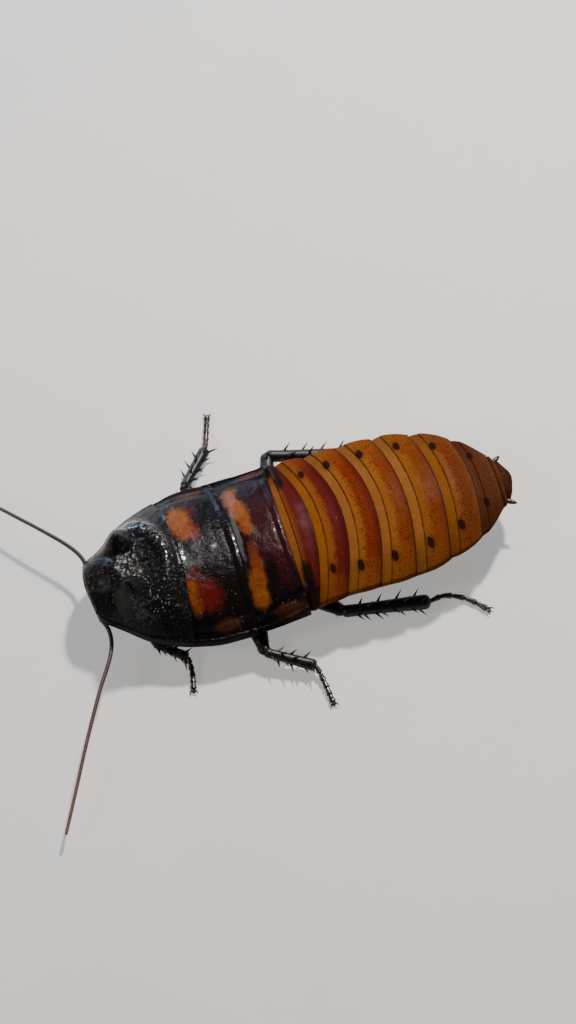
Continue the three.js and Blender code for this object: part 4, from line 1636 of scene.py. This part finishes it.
@dataclass(frozen=True)
class Leg:
    """One leg: coxa, femur, spiny tibia and a foot of five lengths with two claws."""

    side: Side
    pair: Pair
    elbow: Point
    knee: Point
    ankle: Point
    toe: tuple[Point, ...]
    seed: int

    def shaft(
        self,
        start: np.ndarray,
        stop: np.ndarray,
        sizes: Sequence[tuple[float, float]],
        flat: float,
        ends: tuple[float, float],
    ) -> np.ndarray:
        """Works out one length of the leg.

        The half width runs smoothly through the sizes, the half height is the flat share of
        it, and both ends close as a quarter circle.

        Args:
            start: Joint that it starts at.
            stop: Joint that it ends at.
            sizes: Pairs of place, from 0 to 1, and half width in mm.
            flat: Height over width.
            ends: How far it runs past both joints, as shares of its length.

        Returns:
            The grid of rings.
        """
        t = np.linspace(0, 1, 46)
        path = start + (stop - start) * mix(-ends[0], 1 + ends[1], t)[:, None]
        width = Flow([a for a, _ in sizes], [b for _, b in sizes])(t) * PAIRS[self.pair].size
        run = np.linalg.norm(stop - start)
        close = np.minimum(t, 1 - t) * run / (0.8 * width.mean())
        width = width * np.sqrt(1 - (1 - np.clip(close, 0.02, 1)) ** 2)
        return tube(path, width, width * flat, 28)

    def hairs(self, draft: Draft, path: np.ndarray, radius: float, count: int, long: float) -> None:
        """Lays in short fine bristles scattered along a path, leaning towards the foot.

        Args:
            draft: The mesh that they join.
            path: Places along the middle of the limb, evenly spaced, one to a row.
            radius: Half width of the limb, in mm.
            count: How many bristles.
            long: Their usual length, in mm.
        """
        rng = np.random.default_rng(self.seed * 31 + count)
        t, turn = rng.uniform(0.05, 0.97, count), rng.uniform(0, 2 * math.pi, count)
        even = np.linspace(0, 1, len(path))
        here, ahead = (
            np.stack([np.interp(t + gap, even, path[:, k]) for k in range(3)], -1) for gap in (0, 0.02)
        )
        along = (ahead - here) / np.linalg.norm(ahead - here, axis=1)[:, None]
        side = np.cross(along, [0.0, 0.0, 1.0])
        side /= np.linalg.norm(side, axis=1)[:, None]
        over = np.cross(side, along)
        out = np.cos(turn)[:, None] * side + np.sin(turn)[:, None] * over
        roots = here + out * radius * 0.85
        leans = out + along * rng.uniform(0.5, 1.2, count)[:, None]
        leans /= np.linalg.norm(leans, axis=1)[:, None]
        length = long * rng.uniform(0.6, 1.2, count)
        keep = roots[:, 2] + np.minimum(0, leans[:, 2]) * length > 0.05
        thorns(draft, roots[keep], leans[keep], length[keep], np.full(keep.sum(), HAIR_THICK))

    def spiny(
        self,
        draft: Draft,
        ends: tuple[np.ndarray, np.ndarray],
        count: int,
        radius: float,
        long: float,
    ) -> None:
        """Lays in rows of stiff spines, each sunk in the limb and leaning towards the foot.

        A spine that would reach the floor is cut short above it.

        Args:
            draft: The mesh that they join.
            ends: First and last point of the limb.
            count: How many spines.
            radius: Half width of the limb, in mm.
            long: Their usual length, in mm.
        """
        start, stop = ends
        rng = np.random.default_rng(self.seed * 17 + count)
        along, side, over = limb_axes(start, stop)
        i = np.arange(count)
        t = 0.14 + 0.78 * i / max(1, count - 1)
        turn = np.array([0.2, 2.9, -0.9, 1.5, -2.2])[i % 5] + rng.uniform(-0.25, 0.25, count)
        out = np.cos(turn)[:, None] * side + np.sin(turn)[:, None] * over
        leans = out + along * rng.uniform(0.55, 0.95, count)[:, None]
        leans /= np.linalg.norm(leans, axis=1)[:, None]
        roots = start + (stop - start) * t[:, None] + out * radius * 0.5
        length = long * rng.uniform(0.8, 1.2, count) * (0.75 + 0.4 * t) + radius * 0.5
        room = (roots[:, 2] - FLOOR_ROOM) / np.maximum(0.05, -leans[:, 2])
        low = roots[:, 2] + leans[:, 2] * length < FLOOR_ROOM
        length = np.where(low, np.maximum(0.4, room), length)
        thorns(draft, roots, leans, np.minimum(length, long * 1.9), np.full(count, SPINE_THICK))

    def make(self, body: BodyLines, owner: Owner, horn: bpy.types.Material, foot: bpy.types.Material) -> None:
        """Makes the leg's four pieces.

        Args:
            body: The body's lines.
            owner: Who takes the pieces.
            horn: Material of the leg.
            foot: Material of the foot.
        """
        facts = PAIRS[self.pair]
        size = facts.size
        word = f"{self.side.word}_{self.pair.value}"
        hip = np.array(facts.hip) * [self.side.value, 1, 1]
        elbow, knee, ankle = (np.array(joint, float) for joint in (self.elbow, self.knee, self.ankle))
        coxa, femur, tibia = Draft(body), Draft(body), Draft(body)
        coxa.skin(self.shaft(hip, elbow, COXA, 0.62, (0.12, 0.1)))
        knuckle = elbow - 0.14 * (elbow - hip), elbow + 0.1 * (knee - elbow)
        coxa.skin(self.shaft(*knuckle, TROCHANTER, 0.8, (0.1, 0.2)))
        self.hairs(coxa, np.array([hip, elbow]), 1.5 * size, 30, 0.4)
        femur.skin(self.shaft(elbow, knee, FEMUR, 0.74, (0.02, 0.05)))
        self.spiny(femur, (elbow, knee), 4, 0.9 * size, 0.95)
        self.hairs(femur, np.array([elbow, knee]), 1.1 * size, 130, 0.6)
        stout = [(at, wide * facts.stout) for at, wide in TIBIA]
        tibia.skin(self.shaft(knee, ankle, stout, 0.95, (0.03, 0.02)))
        self.spiny(tibia, (knee, ankle), facts.spines + 6, 0.7 * size * facts.stout, 1.5 * size)
        self.hairs(tibia, np.array([knee, ankle]), 0.72 * size, 170, 0.65)
        for part, draft in (("coxa", coxa), ("femur", femur), ("tibia", tibia)):
            owner.give(draft.build(f"{word}_{part}_skin", horn), f"{word}_{part}", "limb")
        tarsus = self.foot(body)
        owner.give(tarsus.build(f"{word}_tarsus_skin", foot), f"{word}_tarsus", "limb")

    def foot(self, body: BodyLines) -> Draft:
        """Lays in the foot: five flared lengths, soft pads, an end lobe and two hooked claws.

        The half width grows along each length as its share to the power 1.5, and the skin is
        cut off flat at the floor.

        Args:
            body: The body's lines.

        Returns:
            The foot's mesh in the making.
        """
        line = spline_path(np.array([self.ankle, *self.toe], float), FOOT_RINGS)
        t = np.linspace(0, 1, FOOT_RINGS)
        beat = t * 5 % 1.0
        width = (0.34 + 0.16 * beat**1.5 + 0.05 * ridge(t, 0.97, 0.05)) * (1 - 0.45 * ridge(beat, 0.0, 0.08))
        draft = Draft(body)
        draft.skin(self.grounded(tube(line, width, width * 0.92, 20)))
        for at in (0.36, 0.56, 0.76):
            x, s, z = line[int(at * (FOOT_RINGS - 1))]
            draft.skin(self.grounded(ball((x, s, max(0.16, z - 0.34)), (0.3, 0.3, 0.2), 10, 14)))
        end = line[-1]
        along, side, _ = limb_axes(line[-12], end)
        flat = np.array([along[0], along[1], 0.0])
        flat /= np.linalg.norm(flat)
        sole = end + flat * 0.35
        draft.skin(self.grounded(ball((sole[0], sole[1], 0.26), (0.36, 0.36, 0.26), 12, 16)))
        thick = 0.19 * (1 - 0.9 * np.linspace(0, 1, 18) ** 1.4)
        for sign in (-1, 1):
            out = side * sign
            bend, point = flat * 0.5 + out * 0.42 + [0, 0, 0.12], flat + out * 0.62 + [0, 0, -0.14]
            hook = np.array([end, end + bend, end + point])
            hook[:, 2] = hook[:, 2].clip(0.12)
            draft.skin(tube(spline_path(hook, 18), thick, thick, 12))
        self.hairs(draft, line[10:-20], 0.36, 36, 0.35)
        return draft

    def grounded(self, grid: np.ndarray) -> np.ndarray:
        """A grid whose points under the floor are raised to it."""
        return np.concatenate([grid[..., :2], grid[..., 2:].clip(0.0)], -1)


LEGS = (
    Leg(
        Side.LEFT, Pair.FORE, (4.6, 12.4, 2.9), (9.4, 7.8, 2.8), (12.5, 12.1, 1.7),
        ((14.6, 12.1, 0.85), (17.2, 11.6, 0.42)), 1,
    ),
    Leg(
        Side.LEFT, Pair.MIDDLE, (6.2, 23.2, 2.6), (15.6, 23.2, 2.5), (19.5, 29.9, 1.4),
        ((22.0, 30.4, 0.7), (25.5, 30.7, 0.42)), 2,
    ),
    Leg(
        Side.LEFT, Pair.HIND, (5.2, 29.8, 2.6), (12.6, 36.2, 2.7), (14.2, 49.2, 1.5),
        ((13.6, 51.9, 0.8), (15.0, 54.9, 0.5), (17.4, 57.2, 0.42)), 3,
    ),
    Leg(
        Side.RIGHT, Pair.FORE, (-4.6, 12.4, 2.9), (-9.4, 7.8, 2.8), (-11.0, 13.0, 1.7),
        ((-11.9, 14.8, 0.85), (-12.9, 16.8, 0.42)), 4,
    ),
    Leg(
        Side.RIGHT, Pair.MIDDLE, (-6.2, 23.0, 2.6), (-15.8, 19.2, 2.5), (-22.0, 24.2, 1.4),
        ((-24.6, 25.0, 0.7), (-28.1, 26.1, 0.42)), 5,
    ),
    Leg(
        Side.RIGHT, Pair.HIND, (-5.2, 29.8, 2.6), (-17.2, 32.8, 2.6), (-14.0, 46.0, 1.5),
        ((-13.8, 49.0, 0.8), (-14.2, 51.8, 0.5), (-14.9, 54.4, 0.42)), 6,
    ),
)


@dataclass
class Cercus:
    """One tail feeler: a short ringed cone that stands out beside the tail plate."""

    side: Side
    root: Point = (2.6, 63.4, 6.0)
    tip: Point = (5.3, 67.6, 5.9)
    shown: tuple[float, float] = (0.1, 0.66)
    radius: float = 0.55
    rings: int = 7

    def build(self, body: BodyLines, finish: bpy.types.Material) -> bpy.types.Object:
        """Makes the piece: radius times (1 - t^2.2)^0.5, swollen by |sin(pi n t)| along its rings.

        Args:
            body: The body's lines.
            finish: Its material.

        Returns:
            The piece.
        """
        t = np.linspace(0, 1, 60)
        mirror = np.array([self.side.value, 1, 1])
        start, stop = np.array(self.root) * mirror, np.array(self.tip) * mirror
        path = start + (stop - start) * mix(*self.shown, t)[:, None]
        ringed = 0.92 + 0.1 * np.abs(np.sin(t * math.pi * self.rings))
        wide = self.radius * np.sqrt(np.maximum(0.02, 1 - t**2.2)) * ringed
        draft = Draft(body)
        draft.skin(tube(path, wide, wide * 0.8, 18))
        return draft.build(f"cercus_{self.side.word}_skin", finish)


@dataclass(frozen=True)
class Lamp:
    """A round soft light: its place in body coordinates, power in watts, width in mm and colour."""

    name: str
    place: Point
    power: float
    size: float
    colour: Colour


LAMPS = (
    Lamp("key", (-196, 184, 318), 3.0, 36, (1.0, 0.97, 0.93)),
    Lamp("sky", (-340, -40, 92), 0.75, 130, (0.46, 0.60, 1.0)),
    Lamp("fill", (40, -330, 300), 0.5, 120, (1.0, 0.98, 0.95)),
)


@dataclass
class Studio:
    """The floor, the lights and the camera."""

    body: BodyLines
    turn: float = 78.26
    lift: float = 59.05
    roll: float = -5.12
    distance: float = 480.0
    scale: float = 6.7
    sensor: float = 36.0
    reach: tuple[float, float] = (0.01, 20.0)
    aim: Point = (0.0, 31.0, 10.0)
    aim_pixel: tuple[float, float] = (283.97, 526.56)
    lit: Point = (0.0, 31.0, 6.0)
    floor_half: float = 1.6
    floor_drop: float = 0.00002
    wall: Colour = (0.40, 0.395, 0.38)
    overhead: Colour = (0.055, 0.058, 0.063)
    wall_top: tuple[float, float] = (0.10, 0.45)

    def axes(self) -> tuple[np.ndarray, np.ndarray, np.ndarray]:
        """The camera's axes, from its turn round the body, its lift over the floor and its roll.

        Returns:
            The backward, rightward and upward directions.
        """
        a, e, r = (math.radians(value) for value in (self.turn, self.lift, self.roll))
        back = np.array([math.sin(a) * math.cos(e), -math.cos(a) * math.cos(e), math.sin(e)])
        right = np.array([math.cos(a), math.sin(a), 0.0])
        up = np.cross(back, right)
        return back, right * math.cos(r) + up * math.sin(r), up * math.cos(r) - right * math.sin(r)

    def camera(self) -> None:
        """Stands the camera where the aimed point falls on its own pixel of the photograph."""
        back, right, up = self.axes()
        wide, tall = PHOTO
        aside = (self.aim_pixel[0] - wide / 2) / self.scale
        above = (tall / 2 - self.aim_pixel[1]) / self.scale
        centre = np.array(self.aim) - right * aside - up * above
        data = bpy.data.cameras.new("camera")
        data.sensor_width = self.sensor
        data.lens = self.scale * self.distance * self.sensor / tall
        data.clip_start, data.clip_end = self.reach
        camera = bpy.data.objects.new("camera", data)
        turn = Matrix(np.stack([right, up, back], 1).tolist()).to_4x4()
        camera.matrix_world = Matrix.Translation(Vector(self.body.row(centre + back * self.distance))) @ turn
        bpy.context.scene.collection.objects.link(camera)
        bpy.context.scene.camera = camera

    def lamp(self, lamp: Lamp) -> None:
        """Adds one light, turned to the middle of the body.

        Args:
            lamp: Its facts.
        """
        data = bpy.data.lights.new(lamp.name, "AREA")
        data.shape = "DISK"
        data.energy, data.size, data.color = lamp.power, lamp.size * MM, lamp.colour
        light = bpy.data.objects.new(lamp.name, data)
        spot = Vector(self.body.row(np.array(lamp.place, float)))
        look = Vector(self.body.row(np.array(self.lit))) - spot
        light.matrix_world = Matrix.Translation(spot) @ look.to_track_quat("-Z", "Y").to_matrix().to_4x4()
        bpy.context.scene.collection.objects.link(light)

    def floor(self, finish: bpy.types.Material) -> None:
        """Lays a wide floor just under the feet.

        Args:
            finish: Its material.
        """
        x, y, _ = self.body.row(np.array([0.0, self.aim[1], 0.0]))
        signs = np.array([(-1, -1), (1, -1), (1, 1), (-1, 1)])
        corners = np.concatenate([signs * self.floor_half + [x, y], np.full((4, 1), -self.floor_drop)], 1)
        mesh = bpy.data.meshes.new("floor")
        mesh.from_pydata(corners.tolist(), [], [(0, 1, 2, 3)])
        mesh.materials.append(finish)
        floor = bpy.data.objects.new("floor", mesh)
        bpy.context.scene.collection.objects.link(floor)

    def walls(self) -> None:
        """Surrounds the studio: pale up to a little above the floor's far edge, dim overhead."""
        world = bpy.data.worlds.new("studio")
        world.use_nodes = True
        tree = world.node_tree
        way = tree.nodes.new("ShaderNodeTexCoord")
        parts = tree.nodes.new("ShaderNodeSeparateXYZ")
        rise = tree.nodes.new("ShaderNodeMapRange")
        tone = tree.nodes.new("ShaderNodeMix")
        rise.interpolation_type = "SMOOTHSTEP"
        tone.data_type = "RGBA"
        rise.inputs["From Min"].default_value = self.wall_top[0]
        rise.inputs["From Max"].default_value = self.wall_top[1]
        tone.inputs[6].default_value = (*self.wall, 1.0)
        tone.inputs[7].default_value = (*self.overhead, 1.0)
        tree.links.new(way.outputs["Generated"], parts.inputs[0])
        tree.links.new(parts.outputs["Z"], rise.inputs["Value"])
        tree.links.new(rise.outputs["Result"], tone.inputs[0])
        tree.links.new(tone.outputs[2], tree.nodes["Background"].inputs["Color"])
        bpy.context.scene.world = world

    def set_up(self, finish: bpy.types.Material) -> None:
        """Sets up the whole studio.

        Args:
            finish: The floor's material.
        """
        self.camera()
        self.floor(finish)
        for lamp in LAMPS:
            self.lamp(lamp)
        self.walls()


# Colours of the back.
ORANGE = (0.175, 0.052, 0.009)
TAWNY = (0.160, 0.041, 0.008)
RED = (0.074, 0.0065, 0.0055)
BROWN = (0.040, 0.013, 0.006)
MAROON = (0.026, 0.0038, 0.0052)
DARK_RED = (0.040, 0.006, 0.005)
WINE = (0.059, 0.0048, 0.0050)
WINE_REAR = (0.047, 0.0038, 0.0050)
GOLD = (0.186, 0.066, 0.0150)
AMBER = (0.170, 0.055, 0.0095)

MESONOTUM_STAINS = (
    Stain(-7.6, 17.8, 1.7, 1.3, DARK_RED),
    Stain(-3.4, 17.7, 1.6, 1.2, RED),
    Stain(-6.0, 16.2, 2.9, 1.7, ORANGE),
    Stain(-3.9, 16.5, 1.5, 1.1, TAWNY),
    Stain(6.8, 15.3, 2.5, 1.2, TAWNY),
    Stain(7.3, 17.4, 2.3, 1.9, RED),
    Stain(3.6, 16.3, 1.5, 0.9, (0.045, 0.005, 0.004)),
    Stain(11.7, 18.9, 0.9, 2.0, BROWN, 0.8),
    Stain(-11.7, 18.9, 0.9, 2.0, BROWN, 0.8),
)

METANOTUM_STAINS = (
    Stain(0.0, 28.8, 8.0, 3.6, MAROON, 0.95, 0.45),
    Stain(-7.8, 25.0, 2.7, 1.3, ORANGE),
    Stain(-4.8, 25.3, 2.4, 1.3, ORANGE),
    Stain(-2.1, 25.7, 1.7, 0.9, TAWNY),
    Stain(-8.2, 26.3, 1.3, 0.7, BLACK),
    Stain(2.6, 25.5, 1.7, 0.8, (0.075, 0.014, 0.007)),
    Stain(4.8, 25.5, 1.8, 1.0, (0.115, 0.026, 0.008)),
    Stain(7.5, 24.9, 2.2, 1.4, TAWNY),
    Stain(9.3, 24.7, 1.5, 1.2, ORANGE),
    Stain(6.4, 27.2, 2.4, 0.9, BLACK),
    Stain(8.4, 26.5, 0.9, 0.7, BLACK),
    Stain(-1.0, 24.0, 4.4, 0.4, (0.10, 0.09, 0.09), 0.6),
    Stain(12.1, 28.6, 0.9, 2.2, BROWN),
    Stain(-12.1, 28.6, 0.9, 2.2, BROWN),
)

BAND_1_STAINS = (
    Stain(8.6, 32.3, 2.4, 0.8, BLACK),
    Stain(-8.6, 32.5, 1.8, 0.6, BLACK),
    Stain(11.3, 31.6, 1.9, 2.2, BLACK),
    Stain(-11.6, 31.6, 1.6, 2.2, BLACK),
)

NOTA = (
    NotumFinish("mesonotum_black", MESONOTUM_STAINS),
    NotumFinish("metanotum_maroon", METANOTUM_STAINS, gloss=0.05, coat=0.15),
)

NO_SPOT = 0.01
NO_LINE = -0.5

BANDS = (
    BandFinish(
        "band_1", (0.160, 0.050, 0.010), (0.110, 0.025, 0.007), WINE, WINE_REAR,
        start=0.36, reach=0.80, spot=NO_SPOT, gloss=0.02, freckles=0.4, stains=BAND_1_STAINS,
    ),
    BandFinish(
        "band_2", (0.170, 0.054, 0.0085), (0.150, 0.040, 0.0075), WINE, WINE_REAR,
        start=0.46, reach=0.74, spot_x=8.5, spot_s=36.1, spot=0.75, freckles=0.5,
    ),
    BandFinish(
        "band_3", GOLD, AMBER, (0.104, 0.0122, 0.0030), (0.070, 0.0086, 0.0035),
        start=0.43, reach=0.70, spot_x=9.15, spot_s=40.25,
    ),
    BandFinish(
        "band_4", GOLD, AMBER, (0.115, 0.0205, 0.0040), (0.088, 0.0200, 0.0050),
        start=0.45, spot_x=9.3, spot_s=45.5,
    ),
    BandFinish(
        "band_5", GOLD, (0.150, 0.048, 0.0080), (0.108, 0.0225, 0.0040), (0.088, 0.0210, 0.0060),
        start=0.46, spot_x=8.85, spot_s=51.2,
    ),
    BandFinish(
        "band_6", (0.142, 0.046, 0.0080), (0.126, 0.038, 0.0080), (0.082, 0.0180, 0.0050),
        (0.088, 0.030, 0.0100), start=0.40, strength=0.85, reach=0.7, spot_x=7.25, spot_s=56.5,
    ),
    BandFinish(
        "band_7", (0.056, 0.018, 0.0070), (0.052, 0.014, 0.0060), (0.055, 0.019, 0.0080),
        (0.062, 0.026, 0.0100), start=0.3, reach=0.62, spot_x=4.3, spot_s=61.4, spot=0.75,
    ),
    BandFinish(
        "band_8", (0.08, 0.026, 0.008), (0.07, 0.02, 0.007), (0.06, 0.019, 0.007),
        (0.05, 0.018, 0.007), spot=NO_SPOT, line_at=NO_LINE,
    ),
    BandFinish(
        "band_9", (0.05, 0.018, 0.008), (0.045, 0.014, 0.006), (0.03, 0.010, 0.005),
        (0.035, 0.012, 0.006), spot=NO_SPOT, line_at=NO_LINE,
    ),
)

BELLY_FINISH = HornFinish(
    "belly_brown", (0.048, 0.015, 0.007), (0.125, 0.042, 0.014), (0.35, 0.7), rough=0.30, coat=0.12,
)
CHEST_FINISH = HornFinish(
    "chest_brown", (0.045, 0.018, 0.010), (0.16, 0.065, 0.03), (0.4, 0.75), rough=0.36, coat=0.2,
)
FACE_FINISH = HornFinish(
    "head_brown", (0.014, 0.006, 0.004), (0.075, 0.022, 0.010), (0.45, 0.8), rough=0.18, grain=0.22,
)
MOUTH_FINISH = HornFinish(
    "mouth_brown", (0.020, 0.008, 0.005), (0.10, 0.035, 0.014), (0.4, 0.75), rough=0.3,
    joint=(0.22, 0.11, 0.05),
)
LIMB_FINISH = HornFinish(
    "limb_black", (0.005, 0.0035, 0.003), (0.018, 0.008, 0.006), (0.5, 0.85), rough=0.32, depth=0.06,
    coat=0.0,
)
FOOT_FINISH = HornFinish(
    "foot_brown", (0.014, 0.007, 0.005), (0.07, 0.028, 0.014), (0.45, 0.8), rough=0.28,
)
FEELER_FINISHES = {
    "base": HornFinish("antenna_base_black", (0.012, 0.006, 0.005), (0.05, 0.018, 0.010), rough=0.25),
    "near": FeelerFinish(
        "antenna_near_brown", (0.010, 0.005, 0.004), (0.060, 0.020, 0.010), Feeler.rings_near,
    ),
    "far": FeelerFinish(
        "antenna_far_brown", (0.060, 0.020, 0.010), (0.14, 0.050, 0.022), Feeler.rings_far,
    ),
}


@dataclass
class Cockroach:
    """The whole animal, built from the back plates down to the feet."""

    body: BodyLines
    owner: Owner = field(default_factory=Owner)
    first_tergite: int = 3
    first_short: int = 10

    def thorax(self) -> None:
        """Builds the neck shield and the two plates behind it."""
        shield = ShieldFinish().make(self.body)
        self.owner.give(NeckShield(self.body).build(shield), "pronotum", "shield_black")
        for index, recipe in enumerate(NOTA, 1):
            plate = NotumPlate(self.body, index)
            self.owner.give(plate.build(recipe.make(self.body)), BACK[index].name, "thorax_plate")

    def abdomen(self) -> None:
        """Builds the nine plates of the abdomen: the first is flatter, the last two are plain."""
        for index, recipe in enumerate(BANDS, self.first_tergite):
            plate = BackPlate(self.body, index)
            if index == self.first_tergite:
                plate = BackPlate(self.body, index, step=0.3, lead=1.0)
            if index >= self.first_short:
                plate = BackPlate(self.body, index, step=0.2, lead=0.8, groove_deep=0.0)
            self.owner.give(plate.build(recipe.make(self.body)), BACK[index].name, "abdomen_plate")

    def head(self) -> Head:
        """Builds the head with its eyes and mouth parts.

        Returns:
            The head, for the place of the neck.
        """
        face, mouth, eye = FACE_FINISH.make(), MOUTH_FINISH.make(), EyeFinish().make()
        head = Head(self.body)
        self.owner.give(head.capsule(face), "head", "head")
        for side in Side:
            self.owner.give(head.eye(side, eye), f"eye_{side.word}", "eye")
        head.mouth(self.owner, mouth)
        return head

    def feelers(self) -> None:
        """Builds both antennae."""
        finishes = {part: finish.make() for part, finish in FEELER_FINISHES.items()}
        left = Feeler(
            self.body,
            Side.LEFT,
            ((1.5, 1.7, 5.2), (2.8, 1.0, 4.9), (4.3, 1.2, 4.8)),
            (
                (4.6, 1.35, 4.8), (6.3, 1.8, 4.9), (8.8, 1.6, 5.1),
                (11.6, 0.5, 5.3), (15.8, -2, 5.1), (20, -4.3, 4.7),
            ),
            ((20.26, -4.44, 4.67), (24.2, -6.5, 4.2), (29.7, -9.3, 3.4), (35.6, -12.4, 2.4)),
        )
        right = Feeler(
            self.body,
            Side.RIGHT,
            ((-1.5, 1.7, 5.2), (-2.9, 1.1, 4.9), (-4.6, 1.2, 4.85)),
            (
                (-4.9, 1.25, 4.87), (-6.9, 1.0, 5), (-9.5, -0.5, 5.2),
                (-12.8, -3.2, 5.2), (-16.4, -6.3, 5),
            ),
            ((-16.63, -6.5, 4.97), (-19.5, -8.9, 4.6), (-25, -13.6, 3.7), (-32, -19.4, 2.4)),
        )
        left.make(self.owner, finishes)
        right.make(self.owner, finishes)

    def belly(self, head: Head) -> None:
        """Builds the plates of the belly and the chest.

        Args:
            head: The head, behind which the chest starts.
        """
        finish, chest = BELLY_FINISH.make(), CHEST_FINISH.make()
        under = Underside(self.body)
        for index, margin in enumerate(BELLY):
            self.owner.give(under.belly_plate(index, finish), margin.name, "underside")
        neck = head.centre[1] + head.reach[1] + under.neck_gap
        self.owner.give(under.chest(neck, chest), "thorax_underside", "underside")

    def limbs(self) -> None:
        """Builds the legs and the tail feelers."""
        horn, foot = LIMB_FINISH.make(), FOOT_FINISH.make()
        for leg in LEGS:
            leg.make(self.body, self.owner, horn, foot)
        for side in Side:
            cercus = Cercus(side).build(self.body, foot)
            self.owner.give(cercus, f"cercus_{side.word}", "limb")

    def build(self) -> None:
        """Builds everything in order."""
        self.thorax()
        self.abdomen()
        head = self.head()
        self.feelers()
        self.belly(head)
        self.limbs()


def main() -> None:
    """Builds the studio and the animal."""
    logging.basicConfig(level=logging.INFO, format="%(message)s")
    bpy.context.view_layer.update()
    body = BodyLines()
    Studio(body).set_up(FloorFinish().make())
    roach = Cockroach(body)
    roach.build()
    LOG.info("%d pieces made", len(roach.owner.made))


if __name__ == "__main__":
    main()
